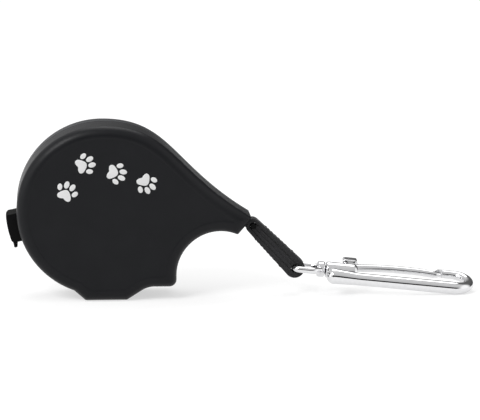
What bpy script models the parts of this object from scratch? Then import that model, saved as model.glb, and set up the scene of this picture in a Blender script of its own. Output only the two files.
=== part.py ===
"""Retractable cord leash: a hand case with a spring reel and thumb brake, a webbing strap and a trigger snap.

Metres, +Z up. +X runs from the reel towards the snap and +Y from the front shell towards the rear shell.
The origin lies on the ground under the reel axis, in the middle of the case's depth.
"""

import math

import bmesh
import bpy
from mathutils import Matrix, Vector

# Clearances
FIT_GAP = 0.0003
RUN_GAP = 0.0003
WELD = 0.000001

# Case outline, about the reel axis
CASE_RADIUS = 0.034
FOOT_DROP = 0.002
FOOT_LENGTH = 0.0165
FOOT_FORWARD = 0.00125
FOOT_ROUND = 0.001
FOOT_FLARE = 0.0045
CHIN_SETBACK = 0.0048
CHIN_RISE = 0.0032
CHIN_ROUND = 0.0028
CHIN_RUN_OUT = 0.0115
CHIN_EASE = 0.009
NOTCH_RADIUS = 0.0172
NOTCH_RISE = 0.0078
LIP_ANGLE = 65.0
LIP_ROUND = 0.0008
SNOUT_REACH = 0.0256
SNOUT_RISE = 0.0302
SNOUT_SLOPE = 31.0
SNOUT_PULL = 0.037
SHOULDER_ANGLE = 90.0
SHOULDER_PULL = 0.0275

# Case depth and walls
CASE_DEPTH = 0.026
SNOUT_DEPTH = 0.0195
TAPER_START = 0.024
WALL = 0.002
EDGE_ROUND = 0.004
INNER_CHAMFER = 0.0013
PARTING_BACK = 0.002

# Reel, spring and axle
BRAKE_SPACE = 0.004
TOOTH_HEIGHT = 0.002
TOOTH_COUNT = 24
TOOTH_ROOT_SHARE = 0.48
TOOTH_TIP_SHARE = 0.28
RIM_SETBACK = 0.001
REEL_SIDE_GAP = 0.0008
FLANGE = 0.0015
CORD_SPACE = 0.009
HUB_RADIUS = 0.012
SPRING_WALL = 0.002
SPRING_COVER = 0.001
SPRING_TURNS = 6
SPRING_THICKNESS = 0.00035
AXLE_RADIUS = 0.004
AXLE_SLOT = 0.001
POST_RADIUS = 0.0022

# Cord
CORD_DIAMETER = 0.002
CORD_FILL_GAP = 0.0015
LAYER_TURNS = 2.5
LAYER_POINTS = 24
RUN_CLEAR_SHARE = 0.35
GUIDE_RADIUS = 0.002
GUIDE_LENGTH = 0.0028
GUIDE_FLARE = 0.0005
MOUTH_DROP = 0.0004

# Screws
SCREW_RADIUS = 0.001
SCREW_HEAD_RADIUS = 0.0024
SCREW_HEAD = 0.0015
SCREW_LENGTH = 0.014
SCREW_SINK = 0.0012
BOSS_WALL = 0.0008
CHIN_BOSS_ANGLE = -49.4
SNOUT_BOSS_FORWARD = 0.003
SNOUT_BOSS_RISE = 0.0005

# Thumb brake
BUTTON_ANGLE = 192.0
BUTTON_HEIGHT = 0.0114
BUTTON_WIDTH = 0.011
BUTTON_PROUD = 0.0044
BUTTON_TRAVEL = 0.0023
BUTTON_RIBS = 6
BUTTON_RIB_DEPTH = 0.0005
BUTTON_LIP = 0.0024
BUTTON_FLANGE = 0.0008
BUTTON_FLANGE_LAP = 0.0013
PAWL_WIDTH = 0.0018
PAWL_SHOULDER = 0.0034
LEAF_THICKNESS = 0.0003
LEAF_WIDTH = 0.0035
LEAF_LENGTH = 0.021
LEAF_BOW = 0.0022
PEG_RADIUS = 0.0008

# Strap
STRAP_ANGLE = -45.7
STRAP_LENGTH = 0.0242
STRAP_WIDTH = 0.0062
STRAP_PLY = 0.0022
ROOT_RADIUS = 0.0027
ROOT_LIFT = 0.0021
STOP_RADIUS = 0.0011

# Swivel eye, along the snap's axis from the strap's bar
EYE_BAR_RADIUS = 0.0013
EYE_SIDE_GAP = 0.00035
EYE_INNER_ROUND = 0.0009
EYE_LENGTH = 0.0104
EYE_NECK = 0.0056
COLLAR_RADIUS = 0.0032
COLLAR = 0.0019
STUD_RADIUS = 0.0014
STUD_HEAD_RADIUS = 0.0022
STUD_HEAD = 0.0015

# Snap hook
SNAP_LENGTH = 0.0736
SNAP_ROLL = 12.0
BARREL_RADIUS = 0.0033
BARREL_LENGTH = 0.0132
BARREL_END = 0.0015
BARREL_WEB = 0.0005
ARM_SPREAD = 0.013
FLANK_RADIUS = 0.0033
KNEE_ROUND = 0.03
SPINE_RADIUS = 0.0026
NOSE_RADIUS = 0.0022
TIP_RADIUS = 0.0018
TIP_RETURN = 0.005
LAP_LENGTH = 0.0032
GATE_SLOT = 0.0038
GATE_THICKNESS = 0.0031
GATE_HALF_WIDTH = 0.0016
GATE_BEND_WIDTH = 0.00176
GATE_LAP_WIDTH = 0.0012
GATE_END_WIDTH = 0.0008
GATE_BEND_SHARE = 0.55
GATE_OVAL = 1.2
GATE_ROOT_RADIUS = 0.002
GATE_ROOT_BACK = 0.0005
PIVOT_SIDE = 0.0016
PIN_RADIUS = 0.0009
SLOT_FLOOR = -0.0024
TAB_LENGTH = 0.006
TAB_HEIGHT = 0.0059
TAB_WIDTH = 0.0054
GATE_COIL_RADIUS = 0.001
GATE_WIRE_RADIUS = 0.0002
GATE_COIL_TURNS = 2

# Facets
DISC_STEPS = 27
NOTCH_STEPS = 14
TOP_STEPS = 15
CORNER_STEPS = 3
EDGE_STEPS = 4
TAPER_STEPS = 5
TURN_STEPS = 36
SPRING_STEPS = 20
LEAF_STEPS = 8
COIL_STEPS = 10
ROD_SIDES = 16
SWEEP_SIDES = 12
SHARP_ANGLE = 35.0
INSET_SHARE = 0.985

# Values that follow from the sizes above
AXIS_HEIGHT = CASE_RADIUS + FOOT_DROP
FRONT_Y = -CASE_DEPTH / 2
REAR_Y = CASE_DEPTH / 2
FRONT_INNER_Y = FRONT_Y + WALL
REAR_INNER_Y = REAR_Y - WALL
FRONT_RIM_Y = PARTING_BACK
REAR_RIM_Y = PARTING_BACK + FIT_GAP
CHIN_X = CASE_RADIUS - CHIN_SETBACK
CHIN_Z = -(CASE_RADIUS - CHIN_RISE)
NOTCH_X = CHIN_X + NOTCH_RADIUS
NOTCH_Z = -(CASE_RADIUS - NOTCH_RISE)
SNOUT_X = CASE_RADIUS + SNOUT_REACH
SNOUT_Z = -(CASE_RADIUS - SNOUT_RISE)
TAPER_RUN = SNOUT_X - TAPER_START
TOOTH_TIP = CASE_RADIUS - WALL - BRAKE_SPACE
TOOTH_ROOT = TOOTH_TIP - TOOTH_HEIGHT
REEL_RIM = TOOTH_TIP - RIM_SETBACK
REEL_FRONT_Y = FRONT_INNER_Y + REEL_SIDE_GAP
CORD_FRONT_Y = REEL_FRONT_Y + FLANGE
CORD_REAR_Y = CORD_FRONT_Y + CORD_SPACE
REEL_WEB_Y = CORD_REAR_Y + FLANGE
COVER_REAR_Y = REAR_INNER_Y - REEL_SIDE_GAP
COVER_FRONT_Y = COVER_REAR_Y - SPRING_COVER
SPRING_REAR_Y = COVER_FRONT_Y - FIT_GAP
BORE_RADIUS = AXLE_RADIUS + RUN_GAP
CORD_RADIUS = CORD_DIAMETER / 2
LAYER_RADIUS = REEL_RIM - CORD_FILL_GAP - CORD_RADIUS
HEAD_Y = REAR_Y - SCREW_SINK
HEAD_SEAT_Y = HEAD_Y - SCREW_HEAD
BOSS_SEAT_Y = HEAD_SEAT_Y - FIT_GAP
CENTRE_BOSS_Y = COVER_FRONT_Y
SHANK_HOLE = SCREW_RADIUS + RUN_GAP
HEAD_HOLE = SCREW_HEAD_RADIUS + 2 * RUN_GAP
BOSS_RADIUS = HEAD_HOLE + BOSS_WALL
BUTTON_REACH = CASE_RADIUS + BUTTON_PROUD
FLANGE_OUT = CASE_RADIUS - WALL - FIT_GAP
FLANGE_IN = FLANGE_OUT - BUTTON_FLANGE
LEAF_REAR_Y = CORD_REAR_Y - 2 * FIT_GAP
STRAP_TIP_RADIUS = EYE_BAR_RADIUS + FIT_GAP + STRAP_PLY
EYE_SIDE = STRAP_WIDTH / 2 + EYE_SIDE_GAP + EYE_BAR_RADIUS
EYE_CORNER = EYE_BAR_RADIUS + EYE_INNER_ROUND
COLLAR_END = EYE_LENGTH + COLLAR
BARREL_START = COLLAR_END + FIT_GAP
BARREL_FRONT = BARREL_START + BARREL_LENGTH
STUD_NECK_END = BARREL_START + BARREL_END + FIT_GAP
STUD_END = STUD_NECK_END + STUD_HEAD
SOCKET_END = STUD_END + FIT_GAP
SLOT_START = SOCKET_END + BARREL_WEB
PIVOT_FORWARD = BARREL_WEB + FIT_GAP + GATE_ROOT_BACK + GATE_ROOT_RADIUS
PIVOT_X = SOCKET_END + PIVOT_FORWARD
ARM_SIDE = ARM_SPREAD / 2
FLANK_SIDE = STUD_HEAD_RADIUS + RUN_GAP + FLANK_RADIUS
NOSE_X = SNAP_LENGTH - ARM_SIDE - NOSE_RADIUS
TIP_X = NOSE_X - TIP_RETURN


def clear_scene():
    for found in list(bpy.data.objects):
        bpy.data.objects.remove(found, do_unlink=True)


def finish(name, colour, roughness, metallic=0.0):
    """A material with one colour; colours are linear."""
    made = bpy.data.materials.new(name)
    made.use_nodes = True
    shader = made.node_tree.nodes["Principled BSDF"]
    shader.inputs["Base Color"].default_value = (*colour, 1.0)
    shader.inputs["Roughness"].default_value = roughness
    shader.inputs["Metallic"].default_value = metallic
    made.diffuse_color = (*colour, 1.0)
    return made


def anchor(name, location, turn=(0.0, 0.0, 0.0), parent=None):
    """An empty that carries pieces on a joint's axis."""
    empty = bpy.data.objects.new(name, None)
    empty.location = location
    empty.rotation_euler = turn
    empty.parent = parent
    bpy.context.scene.collection.objects.link(empty)
    return empty


def place(name, bm, material, parent):
    mesh = bpy.data.meshes.new(name)
    bm.to_mesh(mesh)
    bm.free()
    mesh.materials.append(material)
    mesh.shade_smooth()
    mesh.set_sharp_from_angle(angle=math.radians(SHARP_ANGLE))
    piece = bpy.data.objects.new(name, mesh)
    piece.parent = parent
    bpy.context.scene.collection.objects.link(piece)
    return piece


def tool(name, bm, parent):
    """A helper body for a Boolean."""
    mesh = bpy.data.meshes.new(name)
    bm.to_mesh(mesh)
    bm.free()
    helper = bpy.data.objects.new(name, mesh)
    helper.parent = parent
    helper.hide_render = True
    helper.display_type = "WIRE"
    bpy.context.scene.collection.objects.link(helper)
    return helper


def boolean(piece, operation, helper, solver="EXACT"):
    modifier = piece.modifiers.new(helper.name, "BOOLEAN")
    modifier.operation = operation
    modifier.solver = solver
    modifier.object = helper


def shell_boolean(piece, operation, helper):
    """A cut or join on a shell; the exact solver fails on its tight corners when the snout is longer."""
    boolean(piece, operation, helper, "MANIFOLD")


def loft(rings, wrap=False, bm=None):
    """A closed body through rings of equal count, capped at its ends or wrapped round."""
    bm = bm or bmesh.new()
    rows = [[bm.verts.new(point) for point in ring] for ring in rings]
    count = len(rings[0])
    pairs = list(zip(rows, rows[1:]))
    if wrap:
        pairs.append((rows[-1], rows[0]))
    for low, high in pairs:
        for i in range(count):
            j = (i + 1) % count
            bm.faces.new((low[i], low[j], high[j], high[i]))
    if not wrap:
        bm.faces.new(rows[0])
        bm.faces.new(rows[-1])
    bmesh.ops.remove_doubles(bm, verts=bm.verts, dist=WELD)
    bmesh.ops.recalc_face_normals(bm, faces=bm.faces)
    if bm.calc_volume(signed=True) < 0.0:
        bmesh.ops.reverse_faces(bm, faces=bm.faces)
    return bm


def turned(profile, steps=TURN_STEPS, bm=None):
    """A closed profile of (radius, y) points turned about the Y axis."""
    rings = []
    for k in range(steps):
        angle = 2 * math.pi * k / steps
        rings.append([(r * math.cos(angle), y, r * math.sin(angle)) for r, y in profile])
    return loft(rings, wrap=True, bm=bm)


def turned_along_x(profile, steps=TURN_STEPS, bm=None):
    """A closed profile of (radius, x) points turned about the X axis."""
    rings = []
    for k in range(steps):
        angle = 2 * math.pi * k / steps
        rings.append([(x, r * math.cos(angle), r * math.sin(angle)) for r, x in profile])
    return loft(rings, wrap=True, bm=bm)


def rod(start, end, radius, sides=ROD_SIDES, bm=None):
    """A round rod between two points."""
    start = Vector(start)
    end = Vector(end)
    across = (end - start).to_track_quat("Z", "Y").to_matrix()
    rings = []
    for centre in (start, end):
        ring = []
        for k in range(sides):
            angle = 2 * math.pi * k / sides
            offset = Vector((radius * math.cos(angle), radius * math.sin(angle), 0.0))
            ring.append(centre + across @ offset)
        rings.append(ring)
    return loft(rings, bm=bm)


def block(low, high, bm=None):
    """A box between two corners."""
    rings = []
    for y in (low[1], high[1]):
        rings.append([(low[0], y, low[2]), (high[0], y, low[2]), (high[0], y, high[2]), (low[0], y, high[2])])
    return loft(rings, bm=bm)


def slab(outline, low_y, high_y, bm=None):
    """A flat outline of (x, z) points given a thickness along Y."""
    return loft([[(x, y, z) for x, z in outline] for y in (low_y, high_y)], bm=bm)


def arc(centre, radius, start, end, steps):
    """Points on an arc, ends included; angles in degrees."""
    points = []
    for k in range(steps + 1):
        angle = math.radians(start + (end - start) * k / steps)
        points.append(Vector((centre[0] + radius * math.cos(angle), centre[1] + radius * math.sin(angle))))
    return points


def rounded(before, corner, after, radius, steps=CORNER_STEPS):
    """Points of the fillet at a corner between two straight runs."""
    back = (Vector(before) - Vector(corner)).normalized()
    ahead = (Vector(after) - Vector(corner)).normalized()
    half = back.angle(ahead) / 2
    middle = (back + ahead).normalized()
    centre = Vector(corner) + middle * radius / math.sin(half)
    first = Vector(corner) + back * radius / math.tan(half) - centre
    last = Vector(corner) + ahead * radius / math.tan(half) - centre
    turn = first.angle_signed(last)
    points = []
    for k in range(steps + 1):
        angle = -turn * k / steps
        spun = Matrix.Rotation(angle, 2) @ first
        points.append(centre + spun)
    return points


def spline(points, per_span):
    """Points on a smooth curve through the given ones."""
    points = [Vector(point) for point in points]
    padded = [2 * points[0] - points[1], *points, 2 * points[-1] - points[-2]]
    found = []
    for a, b, c, d in zip(padded, padded[1:], padded[2:], padded[3:]):
        for k in range(per_span):
            t = k / per_span
            square = 2 * a - 5 * b + 4 * c - d
            cube = 3 * b - a - 3 * c + d
            found.append((2 * b + (c - a) * t + square * t**2 + cube * t**3) / 2)
    found.append(points[-1])
    return found


def swept(path, half_widths, half_heights, sides=SWEEP_SIDES, bm=None):
    """A bar with an oval section along a flat path of (x, y) points, with rounded ends."""
    path = [Vector(point) for point in path]
    rings = []
    last = len(path) - 1
    for i, point in enumerate(path):
        along = (path[min(i + 1, last)] - path[max(i - 1, 0)]).normalized()
        side = Vector((-along.y, along.x))
        places = [(0.0, 1.0)]
        if i in (0, last):
            outward = -1.0 if i == 0 else 1.0
            dome = [(outward * math.sin(math.radians(a)), math.cos(math.radians(a))) for a in (35.0, 65.0)]
            places = dome[::-1] + places if i == 0 else places + dome
        for forward, share in places:
            centre = point + along * forward * half_widths[i]
            ring = []
            for k in range(sides):
                angle = 2 * math.pi * k / sides
                flat = centre + side * share * half_widths[i] * math.cos(angle)
                ring.append((flat.x, flat.y, share * half_heights[i] * math.sin(angle)))
            rings.append(ring)
    return loft(rings, bm=bm)


def tube(name, points, radius, bevel_resolution, material, parent):
    """A round cord or wire along points, as a bevelled curve with closed ends."""
    data = bpy.data.curves.new(name, "CURVE")
    data.dimensions = "3D"
    data.bevel_depth = radius
    data.bevel_resolution = bevel_resolution
    data.use_fill_caps = True
    line = data.splines.new("POLY")
    line.points.add(len(points) - 1)
    for spot, point in zip(line.points, points):
        spot.co = (*point, 1.0)
    data.materials.append(material)
    piece = bpy.data.objects.new(name, data)
    piece.parent = parent
    bpy.context.scene.collection.objects.link(piece)
    return piece


def self_gap(points, radius, apart):
    """The least gap between stretches of a tube that lie at least this many points apart."""
    least = min((p - q).length for i, p in enumerate(points) for q in points[i + apart :])
    return least - 2 * radius


def case_outline():
    """The case's closed outline about the reel axis, as (x, z) points, anticlockwise seen from the front."""
    disc = arc((0.0, 0.0), CASE_RADIUS, SHOULDER_ANGLE, 360.0 - foot_meet_angle(), DISC_STEPS)
    ground = -AXIS_HEIGHT
    heel = Vector((FOOT_FORWARD - FOOT_LENGTH / 2, ground))
    toe = Vector((FOOT_FORWARD + FOOT_LENGTH / 2, ground))
    under_chin = Vector((CHIN_X - CHIN_RUN_OUT, CHIN_Z))
    chin = Vector((CHIN_X, CHIN_Z))
    notch = arc((NOTCH_X, NOTCH_Z), NOTCH_RADIUS, 180.0, LIP_ANGLE, NOTCH_STEPS)
    top = top_edge()
    points = disc
    points += rounded(disc[-1], heel, toe, FOOT_ROUND)
    points.append((heel + toe) / 2)
    points += rounded(heel, toe, under_chin, FOOT_ROUND)
    points += rounded(toe, under_chin, chin, CHIN_EASE)
    points += rounded(under_chin, chin, notch[0], CHIN_ROUND)
    points += notch[:-1]
    points += rounded(notch[-2], notch[-1], top[0], LIP_ROUND)
    points.append((notch[-1] + top[0]) / 2)
    points += rounded(notch[-1], top[0], top[1], LIP_ROUND)
    points += top[1:-1]
    return points


def foot_meet_angle():
    """The angle below the front horizontal, in degrees, where the disc leaves for the foot's heel."""
    heel_x = FOOT_FORWARD - FOOT_LENGTH / 2 - FOOT_FLARE
    return 90.0 + math.degrees(math.asin(-heel_x / CASE_RADIUS))


def top_edge():
    """The curve from the snout's tip back up to the disc: hollow at the snout, full at the shoulder."""
    shoulder = arc((0.0, 0.0), CASE_RADIUS, SHOULDER_ANGLE, SHOULDER_ANGLE, 1)[0]
    outward = shoulder.normalized()
    tip = Vector((SNOUT_X, SNOUT_Z))
    slope = math.radians(SNOUT_SLOPE)
    off_disc = shoulder + Vector((outward.y, -outward.x)) * SHOULDER_PULL
    to_tip = tip + Vector((-math.cos(slope), math.sin(slope))) * SNOUT_PULL
    points = []
    for k in range(TOP_STEPS, -1, -1):
        t = k / TOP_STEPS
        u = 1 - t
        points.append(shoulder * u**3 + off_disc * 3 * u**2 * t + to_tip * 3 * u * t**2 + tip * t**3)
    return points


def mouth():
    """The middle of the mouth in the snout's end face and its outward direction, as (x, z)."""
    lip = arc((NOTCH_X, NOTCH_Z), NOTCH_RADIUS, LIP_ANGLE, LIP_ANGLE, 1)[0]
    tip = Vector((SNOUT_X, SNOUT_Z))
    face = (tip - lip).normalized()
    return (lip + tip) / 2 - face * MOUTH_DROP, Vector((face.y, -face.x))


def distance_to(point, outline):
    least = CASE_RADIUS
    for a, b in zip(outline, outline[1:] + outline[:1]):
        run = b - a
        share = max(0.0, min(1.0, (point - a).dot(run) / run.length_squared))
        least = min(least, (point - a - run * share).length)
    return least


def crossing(a, b, c, d):
    """Where the line through a and b meets the line through c and d."""
    run = b - a
    other = d - c
    slant = run.cross(other)
    return a + run * ((c - a).cross(other) / slant)


def inset(outline, distance):
    """The outline moved inwards; points that would cross over gather where the two sides meet."""
    if distance <= 0.0:
        return list(outline)
    count = len(outline)
    moved = []
    for i, point in enumerate(outline):
        before = (point - outline[i - 1]).normalized()
        after = (outline[(i + 1) % count] - point).normalized()
        middle = (before + after).normalized()
        inward = Vector((-middle.y, middle.x))
        moved.append(point + inward * distance / inward.dot(Vector((-before.y, before.x))))
    kept = [distance_to(point, outline) > distance * INSET_SHARE for point in moved]
    start = kept.index(True)
    order = [(start + k) % count for k in range(count + 1)]
    last_good = order[0]
    for place_in_order, i in enumerate(order[1:], 1):
        if not kept[i]:
            continue
        lost = order[order.index(last_good) + 1 : place_in_order]
        if lost:
            meeting = crossing(moved[last_good], moved[lost[0]], moved[lost[-1]], moved[i])
            for j in lost:
                moved[j] = meeting
        last_good = i
    return moved


def depth_share(x):
    """How much of the case's depth is left at x, as the sides close in towards the snout's tip."""
    least = SNOUT_DEPTH / CASE_DEPTH
    way = max(0.0, min(1.0, (x - TAPER_START) / TAPER_RUN))
    low = math.floor(way * TAPER_STEPS) / TAPER_STEPS
    high = min(1.0, low + 1.0 / TAPER_STEPS)
    eased = [s * s * (3 - 2 * s) for s in (low, high)]
    within = (way - low) * TAPER_STEPS
    return 1.0 - (1.0 - least) * (eased[0] + (eased[1] - eased[0]) * within)


def shell_body(rim_y, face_y):
    """One half of the case: a cup with a rounded outer edge, open at the parting plane."""
    outline = case_outline()
    inward = 1.0 if face_y < rim_y else -1.0
    levels = [(WALL + INNER_CHAMFER, face_y + inward * WALL)]
    levels.append((WALL, face_y + inward * (WALL + INNER_CHAMFER)))
    levels.append((WALL, rim_y))
    levels.append((0.0, rim_y))
    for k in range(EDGE_STEPS + 1):
        angle = math.pi / 2 * k / EDGE_STEPS
        step = EDGE_ROUND * (1 - math.cos(angle))
        levels.append((step, face_y + inward * EDGE_ROUND * (1 - math.sin(angle))))
    rings = [[(point.x, y, point.y) for point in inset(outline, step)] for step, y in levels]
    bm = loft(rings)
    for k in range(TAPER_STEPS):
        cut_at = (TAPER_START + TAPER_RUN * k / TAPER_STEPS, 0.0, 0.0)
        everything = [*bm.verts, *bm.edges, *bm.faces]
        bmesh.ops.bisect_plane(bm, geom=everything, dist=WELD, plane_co=cut_at, plane_no=(1.0, 0.0, 0.0))
    for vert in bm.verts:
        vert.co.y = rim_y + (vert.co.y - rim_y) * depth_share(vert.co.x)
    return bm


def boss_places():
    """Where the case screws stand, as (x, z) about the reel axis: centre, chin and snout."""
    chin_angle = math.radians(CHIN_BOSS_ANGLE)
    reach = TOOTH_TIP + BOSS_RADIUS + 4 * RUN_GAP
    chin = (reach * math.cos(chin_angle), reach * math.sin(chin_angle))
    snout = (CASE_RADIUS + SNOUT_BOSS_FORWARD, SNOUT_Z + SNOUT_BOSS_RISE)
    return (0.0, 0.0), chin, snout


def button_slot(parent):
    """The opening in the case's edge that the brake button slides in."""
    half_height = BUTTON_HEIGHT / 2 + RUN_GAP
    half_width = BUTTON_WIDTH / 2 + RUN_GAP
    low = (FLANGE_OUT - WALL, -half_width, -half_height)
    high = (BUTTON_REACH, half_width, half_height)
    return tool("button_slot", block(low, high), parent)


def mouth_hole(parent):
    """The guide's seat, with room behind it for the cord's bend."""
    start = (-GUIDE_LENGTH - CORD_DIAMETER, 0.0, 0.0)
    end = (GUIDE_LENGTH, 0.0, 0.0)
    return tool("mouth_hole", rod(start, end, GUIDE_RADIUS + FIT_GAP), parent)


def cord_passage(parent, mouth_spot, mouth_out):
    """The way through the snout for the cord's straight run from the reel to the mouth guide."""
    _, clear, guide_in = cord_run(mouth_spot, mouth_out)
    return tool("cord_passage", rod(clear, guide_in, CORD_RADIUS + 2 * RUN_GAP), parent)


def make_shells(material, axis, brake, mouth_axis, mouth_spot, mouth_out):
    slot = button_slot(brake)
    hole = mouth_hole(mouth_axis)
    passage = cord_passage(axis, mouth_spot, mouth_out)
    screws = boss_places()
    buried = WALL / 2

    front = place("front_shell", shell_body(FRONT_RIM_Y, FRONT_Y), material, axis)
    posts = rod((0.0, FRONT_Y + buried, 0.0), (0.0, CENTRE_BOSS_Y - FIT_GAP, 0.0), POST_RADIUS)
    for x, z in screws[1:]:
        rod((x, front_face_y(x) + buried, z), (x, FRONT_RIM_Y - FIT_GAP, z), BOSS_RADIUS, bm=posts)
    for p, t in peg_places():
        spot = brake_point(p, t)
        rod((spot.x, FRONT_Y + buried, spot.y), (spot.x, LEAF_REAR_Y, spot.y), PEG_RADIUS, sides=10, bm=posts)
    shell_boolean(front, "UNION", tool("front_posts", posts, axis))
    pilots = bmesh.new()
    for x, z in screws:
        pilot_end = rear_face_y(x) - (REAR_Y - HEAD_SEAT_Y) - SCREW_LENGTH - SCREW_RADIUS
        rod((x, pilot_end, z), (x, REAR_Y, z), SHANK_HOLE, bm=pilots)
    shell_boolean(front, "DIFFERENCE", tool("front_pilots", pilots, axis))
    shell_boolean(front, "DIFFERENCE", slot)
    shell_boolean(front, "DIFFERENCE", hole)
    shell_boolean(front, "DIFFERENCE", passage)

    rear = place("rear_shell", shell_body(REAR_RIM_Y, REAR_Y), material, axis)
    wide = SCREW_HEAD_RADIUS + WALL
    bosses = rod((0.0, REAR_Y - buried, 0.0), (0.0, CENTRE_BOSS_Y, 0.0), wide)
    for x, z in screws[1:]:
        face_y = rear_face_y(x) - buried
        rod((x, face_y, z), (x, REAR_RIM_Y + FIT_GAP, z), BOSS_RADIUS, bm=bosses)
    shell_boolean(rear, "UNION", tool("rear_bosses", bosses, axis))
    bores = bmesh.new()
    for x, z in screws:
        rod((x, FRONT_Y, z), (x, REAR_Y + WALL, z), SHANK_HOLE, bm=bores)
    shell_boolean(rear, "DIFFERENCE", tool("rear_bores", bores, axis))
    sinks = bmesh.new()
    for x, z in screws:
        rod((x, rear_face_y(x) - (REAR_Y - BOSS_SEAT_Y), z), (x, REAR_Y + WALL, z), HEAD_HOLE, bm=sinks)
    shell_boolean(rear, "DIFFERENCE", tool("rear_sinks", sinks, axis))
    shell_boolean(rear, "DIFFERENCE", slot)
    shell_boolean(rear, "DIFFERENCE", hole)
    shell_boolean(rear, "DIFFERENCE", passage)


def front_face_y(x):
    """The front face's place at x, where the sides close in towards the snout."""
    return FRONT_RIM_Y + (FRONT_Y - FRONT_RIM_Y) * depth_share(x)


def rear_face_y(x):
    """The rear face's place at x, where the sides close in towards the snout."""
    return REAR_RIM_Y + (REAR_Y - REAR_RIM_Y) * depth_share(x)


def make_screws(material, axis):
    for number, (x, z) in enumerate(boss_places(), 1):
        sunk = REAR_Y - rear_face_y(x)
        bevel = SCREW_HEAD / 3
        point_y = HEAD_SEAT_Y - SCREW_LENGTH
        profile = [(0.0, HEAD_Y), (SCREW_HEAD_RADIUS - bevel, HEAD_Y), (SCREW_HEAD_RADIUS, HEAD_Y - bevel)]
        profile += [(SCREW_HEAD_RADIUS, HEAD_SEAT_Y), (SCREW_RADIUS, HEAD_SEAT_Y)]
        profile += [(SCREW_RADIUS, point_y + SCREW_RADIUS), (0.0, point_y)]
        screw = place(f"case_screw_{number}", turned(profile, steps=ROD_SIDES), material, axis)
        screw.location = (x, -sunk, z)


def make_axle(material, axis):
    front = FRONT_INNER_Y + FIT_GAP
    rear = CENTRE_BOSS_Y - FIT_GAP
    inner = POST_RADIUS + FIT_GAP
    profile = [(inner, front), (AXLE_RADIUS, front), (AXLE_RADIUS, rear), (inner, rear)]
    axle = place("reel_axle", turned(profile), material, axis)
    slot_low = (0.0, REEL_WEB_Y + FIT_GAP, -AXLE_SLOT / 2)
    slot_high = (AXLE_RADIUS * 2, rear + WALL, AXLE_SLOT / 2)
    boolean(axle, "DIFFERENCE", tool("axle_slot", block(slot_low, slot_high), axis))


def make_reel(material, cover_material, axis):
    """The spool, its toothed brake rim and the spring chamber, with the chamber's cover."""
    chamber = REEL_RIM - SPRING_WALL
    profile = [(BORE_RADIUS, REEL_FRONT_Y), (REEL_RIM, REEL_FRONT_Y), (REEL_RIM, CORD_FRONT_Y)]
    profile += [(HUB_RADIUS, CORD_FRONT_Y), (HUB_RADIUS, CORD_REAR_Y), (TOOTH_ROOT, CORD_REAR_Y)]
    profile += [(TOOTH_ROOT, REEL_WEB_Y), (REEL_RIM, REEL_WEB_Y), (REEL_RIM, SPRING_REAR_Y)]
    profile += [(chamber, SPRING_REAR_Y), (chamber, REEL_WEB_Y), (BORE_RADIUS, REEL_WEB_Y)]
    reel = place("reel", turned(profile), material, axis)
    pitch = 360.0 / TOOTH_COUNT
    rim = []
    for k in range(TOOTH_COUNT):
        gap = BUTTON_ANGLE + k * pitch
        tooth = gap + pitch / 2
        root_half = TOOTH_ROOT_SHARE * pitch / 2
        tip_half = TOOTH_TIP_SHARE * pitch / 2
        rim += arc((0.0, 0.0), TOOTH_ROOT, gap - root_half, gap + root_half, 1)
        rim += arc((0.0, 0.0), TOOTH_TIP, tooth - tip_half, tooth + tip_half, 1)
    inner = arc((0.0, 0.0), chamber, 0.0, 360.0, len(rim))[:-1]
    start = math.radians(BUTTON_ANGLE)
    inner = [Matrix.Rotation(start, 2) @ point for point in inner]
    face = FLANGE / 8
    rings = []
    for loop, y in ((inner, CORD_REAR_Y + face), (rim, CORD_REAR_Y + face)):
        rings.append([(point.x, y, point.y) for point in loop])
    for loop, y in ((rim, REEL_WEB_Y - face), (inner, REEL_WEB_Y - face)):
        rings.append([(point.x, y, point.y) for point in loop])
    boolean(reel, "UNION", tool("brake_teeth", loft(rings, wrap=True), axis))
    hole = SCREW_HEAD_RADIUS + WALL + RUN_GAP
    disc = [(hole, COVER_FRONT_Y), (REEL_RIM, COVER_FRONT_Y), (REEL_RIM, COVER_REAR_Y), (hole, COVER_REAR_Y)]
    place("spring_cover", turned(disc), cover_material, axis)


def make_main_spring(material, axis):
    """The spiral return spring between the axle and the reel's chamber wall."""
    inner = AXLE_RADIUS + 2 * FIT_GAP
    outer = REEL_RIM - SPRING_WALL - FIT_GAP - SPRING_THICKNESS
    front = REEL_WEB_Y + FIT_GAP
    rear = SPRING_REAR_Y - FIT_GAP
    steps = SPRING_TURNS * SPRING_STEPS
    rings = []
    for k in range(steps + 1):
        angle = 2 * math.pi * SPRING_TURNS * k / steps
        radius = inner + (outer - inner) * k / steps
        ring = []
        for thick, y in ((0.0, front), (SPRING_THICKNESS, front), (SPRING_THICKNESS, rear), (0.0, rear)):
            ring.append(((radius + thick) * math.cos(angle), y, (radius + thick) * math.sin(angle)))
        rings.append(ring)
    place("main_spring", loft(rings), material, axis)


def cord_run(mouth_spot, mouth_out):
    """The cord's run to the mouth: where it leaves the wound layer, is clear of it and enters the guide."""
    entry = mouth_spot - mouth_out * GUIDE_LENGTH
    angle = math.atan2(entry.y, entry.x) + math.acos(LAYER_RADIUS / entry.length)
    leave_y = CORD_FRONT_Y + FIT_GAP + CORD_RADIUS
    leave = Vector((LAYER_RADIUS * math.cos(angle), leave_y, LAYER_RADIUS * math.sin(angle)))
    guide_in = Vector((entry.x, 0.0, entry.y))
    clear = leave.lerp(guide_in, RUN_CLEAR_SHARE)
    clear.y = leave.y
    return leave, clear, guide_in


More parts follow.
